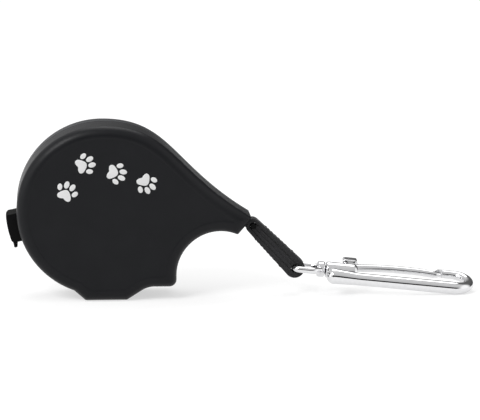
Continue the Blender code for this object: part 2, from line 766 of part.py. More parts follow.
def make_cord(material, axis, mouth_spot, mouth_out):
    """The wound cord: a plain core, and the outer layer that runs on to the mouth as one tube."""
    low = CORD_FRONT_Y + FIT_GAP
    high = CORD_REAR_Y - FIT_GAP
    core_in = HUB_RADIUS + FIT_GAP
    core_out = LAYER_RADIUS - CORD_RADIUS - FIT_GAP
    core = [(core_in, low), (core_out, low), (core_out, high), (core_in, high)]
    place("cord_core", turned(core), material, axis)

    leave, clear, guide_in = cord_run(mouth_spot, mouth_out)
    leave_angle = math.atan2(leave.z, leave.x)
    first_y = high - CORD_RADIUS
    turns = []
    steps = round(LAYER_TURNS * LAYER_POINTS)
    for k in range(steps + 1):
        angle = leave_angle + 2 * math.pi * LAYER_TURNS * (1 - k / steps)
        y = first_y + (leave.y - first_y) * k / steps
        turns.append(Vector((LAYER_RADIUS * math.cos(angle), y, LAYER_RADIUS * math.sin(angle))))
    end = mouth_spot - mouth_out * FIT_GAP
    run = [leave, clear, clear.lerp(guide_in, 1 / 3), clear.lerp(guide_in, 2 / 3), guide_in]
    points = turns[:-1] + spline([*run, (end.x, 0.0, end.y)], 2)
    print(f"cord: least gap to itself {1000 * self_gap(points, CORD_RADIUS, LAYER_POINTS // 2):.2f} mm")
    tube("cord", points, CORD_RADIUS, 1, material, axis)


def make_guide(material, mouth_axis):
    bore = CORD_RADIUS + RUN_GAP + FIT_GAP / 2
    back = -GUIDE_LENGTH
    front = -FIT_GAP / 2
    profile = [(bore + GUIDE_FLARE / 2, back), (GUIDE_RADIUS, back), (GUIDE_RADIUS, front)]
    profile += [(bore + GUIDE_FLARE, front), (bore, front - GUIDE_FLARE), (bore, back + GUIDE_FLARE)]
    place("mouth_guide", turned_along_x(profile, steps=20), material, mouth_axis)


def brake_point(p, t):
    """The (x, z) about the reel axis of a point p along the button's push line and t down the edge."""
    angle = math.radians(BUTTON_ANGLE)
    outward = Vector((math.cos(angle), math.sin(angle)))
    down = Vector((-outward.y, outward.x))
    return outward * p + down * t


def peg_places():
    """The pegs that hold the leaf spring's ends, on its inner side, in the brake's frame."""
    p = FLANGE_IN - FIT_GAP - LEAF_THICKNESS - LEAF_BOW - FIT_GAP - PEG_RADIUS
    t = LEAF_LENGTH / 2 - PEG_RADIUS
    return (p, t), (p, -t)


def make_button(material, spring_material, brake):
    """The thumb button: a ribbed pad that slides through the case's edge, its retaining flange and pawl."""
    half = BUTTON_HEIGHT / 2
    rows = 8
    columns = 4 * BUTTON_RIBS
    rings = []
    for i in range(rows + 1):
        t = -half + BUTTON_HEIGHT * i / rows
        top = math.sqrt(BUTTON_REACH**2 - t**2)
        base = math.sqrt(((FLANGE_IN + FLANGE_OUT) / 2) ** 2 - t**2)
        ring = [(base, -BUTTON_WIDTH / 2, t)]
        for j in range(columns + 1):
            y = -BUTTON_WIDTH / 2 + BUTTON_WIDTH * j / columns
            dip = BUTTON_RIB_DEPTH if j % 4 == 2 else BUTTON_RIB_DEPTH / 2 if j % 2 else 0.0
            ring.append((top - dip, y, t))
        ring.append((base, BUTTON_WIDTH / 2, t))
        rings.append(ring)
    button = place("brake_button", loft(rings), material, brake)
    lap = BUTTON_FLANGE_LAP
    spread = math.degrees((half + lap) / FLANGE_OUT)
    rim = arc((0.0, 0.0), FLANGE_OUT, -spread, spread, rows)
    rim += arc((0.0, 0.0), FLANGE_IN, spread, -spread, rows)
    flange = slab(rim, -BUTTON_WIDTH / 2 - lap, BUTTON_WIDTH / 2 + lap)
    boolean(button, "UNION", tool("button_flange", flange, brake))
    shoulder = FLANGE_IN + BUTTON_FLANGE / 2
    tip = TOOTH_ROOT + RUN_GAP + BUTTON_TRAVEL
    half_tip = PAWL_WIDTH / 2
    half_root = PAWL_SHOULDER / 2
    outline = [(shoulder, -half_root), (shoulder, half_root), (tip, half_tip), (tip, -half_tip)]
    face = FLANGE / 8
    boolean(button, "UNION", tool("button_pawl", slab(outline, CORD_REAR_Y + face, REEL_WEB_Y - face), brake))
    lip_top = math.sqrt(BUTTON_REACH**2 - half**2) - BUTTON_RIB_DEPTH
    slot_edge = math.sqrt(CASE_RADIUS**2 - (half + RUN_GAP) ** 2)
    lip_low = (slot_edge + RUN_GAP + BUTTON_TRAVEL, -BUTTON_WIDTH / 2 + lap, half - BUTTON_LIP)
    lip_high = (lip_top, BUTTON_WIDTH / 2 - lap, half + BUTTON_LIP)
    boolean(button, "UNION", tool("button_lip", block(lip_low, lip_high), brake))

    crest = FLANGE_IN - FIT_GAP
    low_y = LEAF_REAR_Y - LEAF_WIDTH
    high_y = LEAF_REAR_Y
    rings = []
    for k in range(LEAF_STEPS + 1):
        t = LEAF_LENGTH * (k / LEAF_STEPS - 0.5)
        p = crest - LEAF_BOW * (2 * t / LEAF_LENGTH) ** 2
        inner = p - LEAF_THICKNESS
        rings.append([(p, low_y, t), (p, high_y, t), (inner, high_y, t), (inner, low_y, t)])
    place("brake_spring", loft(rings), spring_material, brake)


def make_strap(material, stop_material, pivot):
    """Doubled webbing folded round the cord's toggle at one end and the eye's bar at the other."""
    half = STRAP_WIDTH / 2
    tip = (STRAP_LENGTH, 0.0)
    outer = arc((0.0, 0.0), ROOT_RADIUS, 90.0, 270.0, 10) + arc(tip, STRAP_TIP_RADIUS, -90.0, 90.0, 12)
    strap = place("strap", slab(outer, -half, half), material, pivot)
    toggle_fold = arc((0.0, 0.0), STOP_RADIUS + FIT_GAP, 0.0, 360.0, ROD_SIDES)[:-1]
    holes = slab(toggle_fold, -STRAP_WIDTH, STRAP_WIDTH)
    eye = EYE_BAR_RADIUS + FIT_GAP
    bar_fold = [Vector((STRAP_LENGTH - 4 * eye, 0.0))] + arc(tip, eye, -105.0, 105.0, 10)
    slab(bar_fold, -STRAP_WIDTH, STRAP_WIDTH, bm=holes)
    boolean(strap, "DIFFERENCE", tool("strap_folds", holes, pivot))
    place("cord_stop", rod((0.0, -half, 0.0), (0.0, half, 0.0), STOP_RADIUS, sides=12), stop_material, pivot)


def snap_pitch(bar_height):
    """The snap's slope, in radians, at which its rounded nose rests on the ground."""
    roll = math.radians(SNAP_ROLL)

    def nose_height(pitch):
        down = Vector((math.sin(pitch), -math.sin(roll) * math.cos(pitch)))
        return bar_height - NOSE_X * down.x - ARM_SIDE * down.length - (SPINE_RADIUS + NOSE_RADIUS) / 2

    low = 0.0
    high = math.pi / 4
    for _ in range(40):
        middle = (low + high) / 2
        if nose_height(middle) > 0.0:
            low = middle
        else:
            high = middle
    return low


def make_eye(material, eye_axis):
    """The stirrup that the strap hangs in, with the collar and stud that turn in the snap's barrel."""
    neck = EYE_NECK / 2
    run_out = EYE_LENGTH - 2 * EYE_BAR_RADIUS
    corners = [(EYE_LENGTH, -neck), (run_out, -EYE_SIDE), (0.0, -EYE_SIDE)]
    corners += [(0.0, EYE_SIDE), (run_out, EYE_SIDE), (EYE_LENGTH, neck)]
    path = [Vector(corners[0])]
    for before, corner, after in zip(corners, corners[1:], corners[2:]):
        radius = EYE_CORNER if corner[0] == 0.0 else 2 * EYE_CORNER
        path += rounded(before, corner, after, radius, steps=4)
    path.append(Vector(corners[-1]))
    radii = [EYE_BAR_RADIUS] * len(path)
    eye = place("swivel_eye", swept(path, radii, radii, sides=10), material, eye_axis)
    start = EYE_LENGTH - EYE_BAR_RADIUS
    edge = COLLAR / 4
    profile = [(0.0, start), (COLLAR_RADIUS - 2 * edge, start), (COLLAR_RADIUS, start + 2 * edge)]
    profile += [(COLLAR_RADIUS, COLLAR_END - edge), (COLLAR_RADIUS - edge, COLLAR_END)]
    profile += [(STUD_RADIUS, COLLAR_END), (STUD_RADIUS, STUD_NECK_END), (STUD_HEAD_RADIUS, STUD_NECK_END)]
    profile += [(STUD_HEAD_RADIUS, STUD_END), (0.0, STUD_END)]
    boolean(eye, "UNION", tool("eye_collar", turned_along_x(profile, steps=24), eye_axis))


def snap_path():
    """The snap's flank beside the barrel, its spine, nose and tip, as (x, y) points with the bar's radii."""
    flank = Vector((BARREL_START + FLANK_RADIUS, -FLANK_SIDE))
    knee = (BARREL_FRONT, -ARM_SIDE)
    bend = rounded(flank, knee, (NOSE_X, -ARM_SIDE), KNEE_ROUND, steps=4)
    path = [flank, *bend]
    radii = [FLANK_RADIUS] + [SPINE_RADIUS] * len(bend)
    around = arc((NOSE_X, 0.0), ARM_SIDE, -90.0, 90.0, 12)
    path += around
    for k in range(len(around)):
        way = k / (len(around) - 1)
        to_nose = (NOSE_RADIUS - SPINE_RADIUS) * min(1.0, 3 * way)
        radii.append(SPINE_RADIUS + to_nose + (TIP_RADIUS - NOSE_RADIUS) * way**3)
    path.append(Vector((TIP_X, ARM_SIDE)))
    radii.append(TIP_RADIUS)
    return path, radii


def make_hook_body(material, snap):
    path, radii = snap_path()
    body = place("hook_body", swept(path, radii, radii), material, snap)
    edge = BARREL_END / 2
    hole = STUD_RADIUS + RUN_GAP
    socket = STUD_HEAD_RADIUS + RUN_GAP
    neck_end = BARREL_START + BARREL_END
    profile = [(hole, BARREL_START), (BARREL_RADIUS - edge, BARREL_START)]
    profile += [(BARREL_RADIUS, BARREL_START + edge), (BARREL_RADIUS, BARREL_FRONT - 2 * edge)]
    profile += [(BARREL_RADIUS - 2 * edge, BARREL_FRONT), (0.0, BARREL_FRONT), (0.0, SOCKET_END)]
    profile += [(socket, SOCKET_END), (socket, neck_end), (hole, neck_end)]
    boolean(body, "UNION", tool("hook_barrel", turned_along_x(profile, steps=24), snap))
    slot_high = (BARREL_FRONT + SPINE_RADIUS, BARREL_RADIUS + TAB_HEIGHT, GATE_SLOT / 2)
    slot = block((SLOT_START, SLOT_FLOOR, -GATE_SLOT / 2), slot_high)
    boolean(body, "DIFFERENCE", tool("gate_slot", slot, snap))
    pin_ends = [(PIVOT_X, PIVOT_SIDE, -BARREL_RADIUS), (PIVOT_X, PIVOT_SIDE, BARREL_RADIUS)]
    boolean(body, "DIFFERENCE", tool("pin_hole", rod(*pin_ends, PIN_RADIUS + RUN_GAP), snap))
    lap_low = (TIP_X - 2 * TIP_RADIUS, 0.0, -2 * TIP_RADIUS)
    lap_high = (TIP_X + LAP_LENGTH - TIP_RADIUS, ARM_SIDE, 2 * TIP_RADIUS)
    boolean(body, "DIFFERENCE", tool("tip_lap", block(lap_low, lap_high), snap))


def make_gate(material, pin_material, spring_material, snap, pivot):
    """The gate lever with its thumb tab, its pin and the coil that closes it, about the pin."""
    reach = TIP_X + LAP_LENGTH - TIP_RADIUS - PIVOT_X
    lap_start = TIP_X - TIP_RADIUS - FIT_GAP - PIVOT_X
    closed = ARM_SIDE - PIVOT_SIDE
    shape = [
        (-GATE_ROOT_BACK, 0.0, GATE_ROOT_RADIUS),
        (PIVOT_FORWARD / 2, GATE_ROOT_RADIUS / 4, GATE_ROOT_RADIUS),
        (BARREL_FRONT - PIVOT_X, closed * GATE_BEND_SHARE, GATE_BEND_WIDTH),
        (BARREL_FRONT - PIVOT_X + 2 * ARM_SIDE, closed - FIT_GAP, GATE_HALF_WIDTH),
        (reach - 3 * LAP_LENGTH, closed - FIT_GAP, GATE_HALF_WIDTH),
        (lap_start, closed - FIT_GAP - GATE_LAP_WIDTH, GATE_LAP_WIDTH),
        (reach - FIT_GAP - GATE_END_WIDTH, closed - FIT_GAP - GATE_END_WIDTH, GATE_END_WIDTH),
    ]
    lever = spline(shape, 3)
    path = [(x, y) for x, y, _ in lever]
    widths = [width for _, _, width in lever]
    heights = [min(GATE_THICKNESS / 2, width * GATE_OVAL) for width in widths]
    gate = place("hook_gate", swept(path, widths, heights), material, pivot)

    tab_back = PIVOT_FORWARD / 5
    tab_front = tab_back + TAB_LENGTH
    surface = BARREL_RADIUS - PIVOT_SIDE
    wide = TAB_WIDTH / 2
    thin = GATE_THICKNESS / 2 - FIT_GAP / 2
    rim = TAB_HEIGHT / 8
    levels = [(GATE_ROOT_RADIUS / 2, 2 * rim, thin), (surface + 2 * rim, 2 * rim, thin)]
    levels += [(surface + 3 * rim, 0.0, wide), (surface + TAB_HEIGHT - rim, 0.0, wide)]
    levels.append((surface + TAB_HEIGHT, rim, wide - rim))
    rings = []
    for y, back, half in levels:
        x0 = tab_back + back
        x1 = tab_front - back
        corners = [(x0 + rim, -half), (x1 - rim, -half), (x1, rim - half), (x1, half - rim)]
        corners += [(x1 - rim, half), (x0 + rim, half), (x0, half - rim), (x0, rim - half)]
        rings.append([(x, y, z) for x, z in corners])
    boolean(gate, "UNION", tool("gate_tab", loft(rings), pivot))
    hole = rod((0.0, 0.0, -BARREL_RADIUS), (0.0, 0.0, BARREL_RADIUS), PIN_RADIUS + RUN_GAP)
    boolean(gate, "DIFFERENCE", tool("gate_hole", hole, pivot))

    pin_half = math.sqrt(BARREL_RADIUS**2 - PIVOT_SIDE**2) - FIT_GAP
    pin = rod((PIVOT_X, PIVOT_SIDE, -pin_half), (PIVOT_X, PIVOT_SIDE, pin_half), PIN_RADIUS, sides=12)
    place("gate_pin", pin, pin_material, snap)

    coil_x = BARREL_FRONT - 2 * GATE_COIL_RADIUS
    low = SLOT_FLOOR + FIT_GAP + GATE_WIRE_RADIUS
    over_coil = [y - width for x, y, width in lever if abs(PIVOT_X + x - coil_x) < 2 * GATE_COIL_RADIUS]
    under = min(over_coil) + PIVOT_SIDE
    high = under - FIT_GAP - GATE_WIRE_RADIUS
    steps = GATE_COIL_TURNS * COIL_STEPS
    points = []
    for k in range(steps + 1):
        angle = 2 * math.pi * GATE_COIL_TURNS * k / steps
        ring = Vector((math.cos(angle), 0.0, math.sin(angle))) * GATE_COIL_RADIUS
        points.append(Vector((coil_x, low + (high - low) * k / steps, 0.0)) + ring)
    print(f"gate spring: least gap to itself {1000 * self_gap(points, GATE_WIRE_RADIUS, 6):.2f} mm")
    tube("gate_spring", points, GATE_WIRE_RADIUS, 1, spring_material, snap)


def main():
    clear_scene()
    case_black = finish("case_black", (0.0152, 0.0160, 0.0185), 0.42)
    button_black = finish("button_black", (0.006, 0.006, 0.007), 0.5)
    reel_grey = finish("reel_grey", (0.42, 0.42, 0.40), 0.45)
    cover_black = finish("cover_black", (0.02, 0.02, 0.02), 0.5)
    cord_black = finish("cord_black", (0.012, 0.012, 0.013), 0.85)
    strap_black = finish("strap_black", (0.010, 0.010, 0.011), 0.9)
    guide_black = finish("guide_black", (0.008, 0.008, 0.008), 0.35)
    chrome = finish("chrome", (0.78, 0.78, 0.78), 0.12, 1.0)
    steel = finish("steel", (0.55, 0.55, 0.56), 0.3, 1.0)

    axis = anchor("reel_axis", (0.0, 0.0, AXIS_HEIGHT))
    brake = anchor("brake_axis", (0.0, 0.0, 0.0), (0.0, -math.radians(BUTTON_ANGLE), 0.0), axis)
    mouth_spot, mouth_out = mouth()
    mouth_turn = -math.atan2(mouth_out.y, mouth_out.x)
    mouth_axis = anchor("mouth_axis", (mouth_spot.x, 0.0, mouth_spot.y), (0.0, mouth_turn, 0.0), axis)

    face_up = Vector((-mouth_out.y, mouth_out.x))
    root = mouth_spot + mouth_out * (ROOT_RADIUS + FIT_GAP + LIP_ROUND / 8) + face_up * ROOT_LIFT
    slope = math.radians(STRAP_ANGLE)
    bar = root + Vector((math.cos(slope), math.sin(slope))) * STRAP_LENGTH
    strap_pivot = anchor("strap_pivot", (root.x, 0.0, AXIS_HEIGHT + root.y), (0.0, -slope, 0.0))
    bar_height = AXIS_HEIGHT + bar.y
    pitch = snap_pitch(bar_height)
    eye_axis = anchor("eye_axis", (bar.x, 0.0, bar_height), (0.0, pitch, 0.0))
    snap_axis = anchor("snap_axis", (0.0, 0.0, 0.0), (math.radians(SNAP_ROLL), 0.0, 0.0), eye_axis)
    gate_axis = anchor("gate_axis", (PIVOT_X, PIVOT_SIDE, 0.0), (0.0, 0.0, 0.0), snap_axis)

    make_shells(case_black, axis, brake, mouth_axis, mouth_spot, mouth_out)
    make_screws(steel, axis)
    make_axle(steel, axis)
    make_reel(reel_grey, cover_black, axis)
    make_main_spring(steel, axis)
    make_cord(cord_black, axis, mouth_spot, mouth_out)
    make_guide(guide_black, mouth_axis)
    make_button(button_black, steel, brake)
    make_strap(strap_black, guide_black, strap_pivot)
    make_eye(chrome, eye_axis)
    make_hook_body(chrome, snap_axis)
    make_gate(chrome, chrome, steel, snap_axis, gate_axis)


main()
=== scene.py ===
"""Looks of the retractable cord leash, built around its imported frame.

Metres, +Z up, in the frame of the CAD: +X runs from the reel towards the snap and +Y from the front
shell towards the rear shell. The shapes repeat the sizes of the CAD source, with finer steps.
"""

import math

import bmesh
import bpy
import numpy as np
from mathutils import Matrix, Vector


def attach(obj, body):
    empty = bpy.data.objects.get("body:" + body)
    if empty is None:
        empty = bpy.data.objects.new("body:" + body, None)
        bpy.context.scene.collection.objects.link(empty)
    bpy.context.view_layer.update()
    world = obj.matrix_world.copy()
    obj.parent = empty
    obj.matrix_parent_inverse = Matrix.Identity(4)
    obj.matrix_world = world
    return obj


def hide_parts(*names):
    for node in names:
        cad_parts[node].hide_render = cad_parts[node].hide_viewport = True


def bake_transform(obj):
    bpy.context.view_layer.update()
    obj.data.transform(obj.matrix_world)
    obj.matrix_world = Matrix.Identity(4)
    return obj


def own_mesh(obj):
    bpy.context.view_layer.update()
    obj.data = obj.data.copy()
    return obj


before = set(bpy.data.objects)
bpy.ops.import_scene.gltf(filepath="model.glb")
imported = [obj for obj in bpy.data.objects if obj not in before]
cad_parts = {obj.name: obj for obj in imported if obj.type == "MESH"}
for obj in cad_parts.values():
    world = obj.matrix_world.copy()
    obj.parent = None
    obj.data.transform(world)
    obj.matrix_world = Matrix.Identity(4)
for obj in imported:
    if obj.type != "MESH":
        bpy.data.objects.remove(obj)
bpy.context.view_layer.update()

# Case, about the reel axis
AXIS_Z = 0.036
CASE_RADIUS = 0.034
FRONT_Y = -0.013
REAR_Y = 0.013
FRONT_RIM_Y = 0.002
REAR_RIM_Y = 0.0023
SNOUT_SHARE = 0.75
WALL = 0.002
INNER_CHAMFER = 0.0013
EDGE_ROUND = 0.004
RIM_CHAMFER = 0.0003
FACE_LIP = 0.0006
FACE_STEP = 0.00025
FACE_SINK = 0.00012
FACE_Y = FRONT_Y + FACE_SINK
PRINT_Y = FRONT_Y + 0.00001
FOOT = ((-0.007, -0.036), (0.0095, -0.036))
FOOT_FLARE = 0.0045
FOOT_ROUND = 0.001
UNDER_CHIN = (0.0177, -0.0308)
CHIN = (0.0292, -0.0308)
CHIN_EASE = 0.009
CHIN_ROUND = 0.0028
NOTCH = (0.0464, -0.0262)
NOTCH_RADIUS = 0.0172
LIP_ANGLE = 65.0
LIP_ROUND = 0.0008
SNOUT = (0.0596, -0.0038)
SNOUT_SLOPE = 31.0
SNOUT_PULL = 0.037
SHOULDER_PULL = 0.0275
TAPER_START = 0.024
INSET_SHARE = 0.985

# Plain paw prints on the front face: angle and radius of each about the reel axis, then its pads
PAWS = ((152.0, 0.0165), (112.0, 0.0205), (74.0, 0.0165), (36.0, 0.0205))
PAW_HEEL = ((0.0, 0.0014), (0.0014, 0.0007), (0.0028, -0.0012), (0.0024, -0.0025), (0.0011, -0.0026), (0.0, -0.0022),
            (-0.0011, -0.0026), (-0.0024, -0.0025), (-0.0028, -0.0012), (-0.0014, 0.0007))
PAW_TOES = ((-0.0033, 0.0013, 0.00095, 0.00135, 24.0), (-0.00125, 0.0032, 0.00100, 0.00150, 8.0),
            (0.00125, 0.0032, 0.00100, 0.00150, -8.0), (0.0033, 0.0013, 0.00095, 0.00135, -24.0))

# Mouth, screws, reel and cord
MOUTH = Vector((0.056372, 0.0, 0.028493))
MOUTH_OUT = Vector((0.754171, 0.0, -0.656678))
GUIDE_RADIUS = 0.002
GUIDE_LENGTH = 0.0028
SCREWS = ((0.0, 0.0), (0.02153, -0.02512), (0.037, -0.0033))
HEAD_HOLE = 0.003
HEAD_RADIUS = 0.0024
HEAD_HEIGHT = 0.0015
HEAD_SINK = 0.0012
CORD_RADIUS = 0.001
LAYER_RADIUS = 0.0245

# Thumb brake, in the frame of its push line
BRAKE_ANGLE = 192.0
BUTTON_REACH = 0.0384
BUTTON_HALF = 0.0057
BUTTON_SIDE = 0.0055
BUTTON_RIBS = 6
BUTTON_RIB_DEPTH = 0.0005
BUTTON_EDGE = 0.0007
FLANGE_OUT = 0.0317
FLANGE_IN = 0.0309
LEAF_CREST = 0.0306
LEAF_LENGTH = 0.021
LEAF_BOW = 0.0022

# Strap, along its own length from the cord's toggle
STRAP_ROOT = Vector((0.060089, 0.0, 0.028041))
STRAP_ANGLE = -45.7
STRAP_LENGTH = 0.0242
STRAP_HALF = 0.0031
ROOT_RADIUS = 0.003
TIP_RADIUS = 0.0041
FOLD_ROOT = 0.0014
FOLD_TIP = 0.0016
TOGGLE_ROOM = 0.00122
BAR_ROOM = 0.0015
YARN = 0.0009
PICK = 0.0011
YARN_DEPTH = 0.00009
SELVEDGE = 0.0003

# Snap, in its own frame from the eye's bar
SNAP_ORIGIN = Vector((0.07699, 0.0, 0.010721))
SNAP_X = Vector((0.994474, 0.0, -0.104986))
SNAP_Y = Vector((0.021828, 0.978148, 0.206763))
SNAP_Z = Vector((0.102692, -0.207912, 0.972742))
EYE_Z = Vector((0.104986, 0.0, 0.994474))
EYE_BAR = 0.0013
EYE_SIDE = 0.00475
EYE_LENGTH = 0.0104
BARREL = (0.0126, 0.0258)
BARREL_RADIUS = 0.0033
FLANK_RADIUS = 0.0033
FLANK_SIDE = 0.0058
PIVOT = (0.0195, 0.0016)
ARM_SIDE = 0.0065
SPINE_RADIUS = 0.0026
NOSE_X = 0.0649
NOSE_RADIUS = 0.0022
TIP_X = 0.0599
TIP_END = 0.0018
LAP = 0.0014
CAST_SHARE = 0.98
COIL_X = 0.0238
COIL_LOW = -0.0019
COIL_HIGH = -0.0002


# Node helpers

def shader(name, colour, roughness, metallic=0.0, **sockets):
    """A Principled material; returns it with its tree and its shader node."""
    made = bpy.data.materials.new(name)
    made.use_nodes = True
    principled = made.node_tree.nodes["Principled BSDF"]
    principled.inputs["Base Color"].default_value = (*colour, 1.0)
    principled.inputs["Roughness"].default_value = roughness
    principled.inputs["Metallic"].default_value = metallic
    for socket, value in sockets.items():
        principled.inputs[socket.replace("_", " ")].default_value = value
    return made, made.node_tree, principled


def add(tree, kind, **inputs):
    """A node with its inputs set or wired; keys that are no input are set on the node itself."""
    node = tree.nodes.new("ShaderNode" + kind)
    for key, value in inputs.items():
        label = key.replace("_", " ")
        if label not in node.inputs:
            setattr(node, key, value)
        elif isinstance(value, bpy.types.NodeSocket):
            tree.links.new(value, node.inputs[label])
        else:
            node.inputs[label].default_value = value
    return node


def ramp(tree, factor, *stops):
    node = add(tree, "ValToRGB", Fac=factor)
    while len(node.color_ramp.elements) < len(stops):
        node.color_ramp.elements.new(0.5)
    for element, (place, colour) in zip(node.color_ramp.elements, stops):
        element.position = place
        element.color = (*colour, 1.0) if len(colour) == 3 else (colour[0],) * 3 + (1.0,)
    return node.outputs["Color"]


def grain(tree, scale, detail=2.0, stretch=(1.0, 1.0, 1.0)):
    """Noise in the piece's own coordinates, in features per metre."""
    place = add(tree, "TexCoord").outputs["Object"]
    mapped = add(tree, "Mapping", Vector=place, Scale=stretch).outputs["Vector"]
    return add(tree, "TexNoise", Vector=mapped, Scale=scale, Detail=detail).outputs["Fac"]


def rough_and_bump(tree, principled, height, strength, distance, low, high):
    """Roughness and bump that follow one height."""
    bump = add(tree, "Bump", Height=height, Strength=strength, Distance=distance)
    tree.links.new(bump.outputs["Normal"], principled.inputs["Normal"])
    spread = add(tree, "MapRange", Value=height, From_Min=0.3, From_Max=0.7, To_Min=low, To_Max=high)
    tree.links.new(spread.outputs["Result"], principled.inputs["Roughness"])


def moulded(name, dark, light, low, high, scale=2600.0, strength=0.25, **sockets):
    """Moulded plastic: a fine eroded grain, a slow mottle in its colour and worn spots in its gloss."""
    made, tree, principled = shader(name, dark, low, **sockets)
    mottle = ramp(tree, grain(tree, 90.0, 4.0), (0.35, dark), (0.7, light))
    tree.links.new(mottle, principled.inputs["Base Color"])
    rough_and_bump(tree, principled, grain(tree, scale, 3.0), strength, 0.00006, low, high)
    return made


def metal(name, colour, low, high, stretch, scale, strength=0.05):
    """Plated or plain metal with fine polishing marks."""
    made, tree, principled = shader(name, colour, low, 1.0)
    marks = grain(tree, scale, 4.0, stretch)
    pale = tuple(min(1.0, 1.06 * part) for part in colour)
    tree.links.new(ramp(tree, marks, (0.3, colour), (0.7, pale)), principled.inputs["Base Color"])
    rough_and_bump(tree, principled, marks, strength, 0.00002, low, high)
    return made


def woven(name, dark, light, pitch):
    """Black nylon yarn: fine filaments, a few lighter fibres and a soft sheen."""
    made, tree, principled = shader(name, dark, 0.8, Sheen_Weight=0.08, Sheen_Roughness=0.4)
    fleck = ramp(tree, grain(tree, 1.0 / pitch, 3.0), (0.5, dark), (0.62, light), (0.7, dark))
    tree.links.new(fleck, principled.inputs["Base Color"])
    rough_and_bump(tree, principled, grain(tree, 5.0 / pitch, 2.0), 0.5, 0.0001, 0.7, 0.95)
    return made


CASE_BLACK = moulded("case_plastic", (0.0062, 0.0066, 0.0080), (0.0078, 0.0082, 0.0098), 0.34, 0.46,
                     Specular_IOR_Level=0.18)
# The rear shell's plastic is a glossier copy of the case plastic whose colour is lifted: a painted highlight for its
# top band that faces the sky
CASE_REAR_PAINTED_LIGHT = moulded("case_plastic_rear_painted_light", (0.020, 0.021, 0.024), (0.024, 0.025, 0.028), 0.34, 0.46,
                    Specular_IOR_Level=0.3)
BUTTON_BLACK = moulded("button_rubber", (0.0012, 0.0012, 0.0014), (0.0022, 0.0022, 0.0026), 0.55, 0.7,
                       1800.0, 0.35, Specular_IOR_Level=0.09)
TOGGLE_BLACK = moulded("toggle_plastic", (0.0025, 0.0025, 0.0028), (0.004, 0.004, 0.0044), 0.55, 0.7,
                       900.0, 0.2, Specular_IOR_Level=0.12)
GUIDE_BLACK = moulded("guide_plastic", (0.006, 0.006, 0.006), (0.009, 0.009, 0.009), 0.28, 0.4, 900.0, 0.1)
COVER_BLACK = moulded("cover_plastic", (0.018, 0.018, 0.018), (0.024, 0.024, 0.024), 0.45, 0.6)
REEL_WHITE = moulded("reel_plastic", (0.38, 0.38, 0.36), (0.46, 0.46, 0.43), 0.4, 0.52)
PRINT_WHITE = moulded("print_ink", (0.78, 0.78, 0.78), (0.84, 0.84, 0.84), 0.45, 0.6, 1500.0, 0.3)
WEBBING = woven("webbing", (0.0045, 0.0045, 0.0052), (0.034, 0.034, 0.038), 0.00028)
BRAID = woven("cord_braid", (0.008, 0.008, 0.009), (0.03, 0.03, 0.032), 0.0004)
THREAD = woven("thread", (0.012, 0.012, 0.013), (0.05, 0.05, 0.052), 0.0002)
CHROME = metal("chrome", (0.7, 0.7, 0.71), 0.03, 0.08, (1.0, 1.0, 1.0), 700.0)
STEEL = metal("steel", (0.52, 0.52, 0.53), 0.25, 0.42, (0.2, 1.0, 1.0), 1500.0)


# Mesh helpers

def loft(rings, wrap=False, bm=None):
    """A closed body through rings of equal count, capped at its ends or wrapped round."""
    bm = bm or bmesh.new()
    rows = [[bm.verts.new(point) for point in ring] for ring in rings]
    count = len(rings[0])
    pairs = list(zip(rows, rows[1:]))
    if wrap:
        pairs.append((rows[-1], rows[0]))
    for low, high in pairs:
        for i in range(count):
            j = (i + 1) % count
            bm.faces.new((low[i], low[j], high[j], high[i]))
    if not wrap:
        bm.faces.new(rows[0])
        bm.faces.new(rows[-1])
    bmesh.ops.remove_doubles(bm, verts=bm.verts, dist=1e-6)
    bmesh.ops.recalc_face_normals(bm, faces=bm.faces)
    if bm.calc_volume(signed=True) < 0.0:
        bmesh.ops.reverse_faces(bm, faces=bm.faces)
    return bm


def circle(radius, steps):
    return [(radius * math.cos(2 * math.pi * k / steps), radius * math.sin(2 * math.pi * k / steps)) for k in range(steps)]


def turned(profile, steps=64, bm=None):
    """A closed profile of (radius, x) points turned about the X axis."""
    turns = circle(1.0, steps)
    return loft([[(x, r * c, r * s) for r, x in profile] for c, s in turns], wrap=True, bm=bm)


def rod(start, end, radius, steps=32, bm=None):
    start = Vector(start)
    end = Vector(end)
    across = (end - start).to_track_quat("Z", "Y").to_matrix()
    rings = []
    for centre in (start, end):
        rings.append([centre + across @ Vector((x, y, 0.0)) for x, y in circle(radius, steps)])
    return loft(rings, bm=bm)


def block(low, high, bm=None):
    rings = []
    for y in (low[1], high[1]):
        rings.append([(low[0], y, low[2]), (high[0], y, low[2]), (high[0], y, high[2]), (low[0], y, high[2])])
    return loft(rings, bm=bm)


def slab(outline, low_y, high_y, bm=None):
    return loft([[(x, y, z) for x, z in outline] for y in (low_y, high_y)], bm=bm)


def tube(points, radius, sides=12, bm=None):
    """A round cord or wire along points, with a frame carried along it."""
    points = [Vector(point) for point in points]
    last = len(points) - 1
    side = None
    rings = []
    for i, point in enumerate(points):
        along = (points[min(i + 1, last)] - points[max(i - 1, 0)]).normalized()
        side = along.orthogonal() if side is None else side - along * side.dot(along)
        side.normalize()
        up = along.cross(side)
        rings.append([point + side * x + up * y for x, y in circle(radius, sides)])
    return loft(rings, bm=bm)


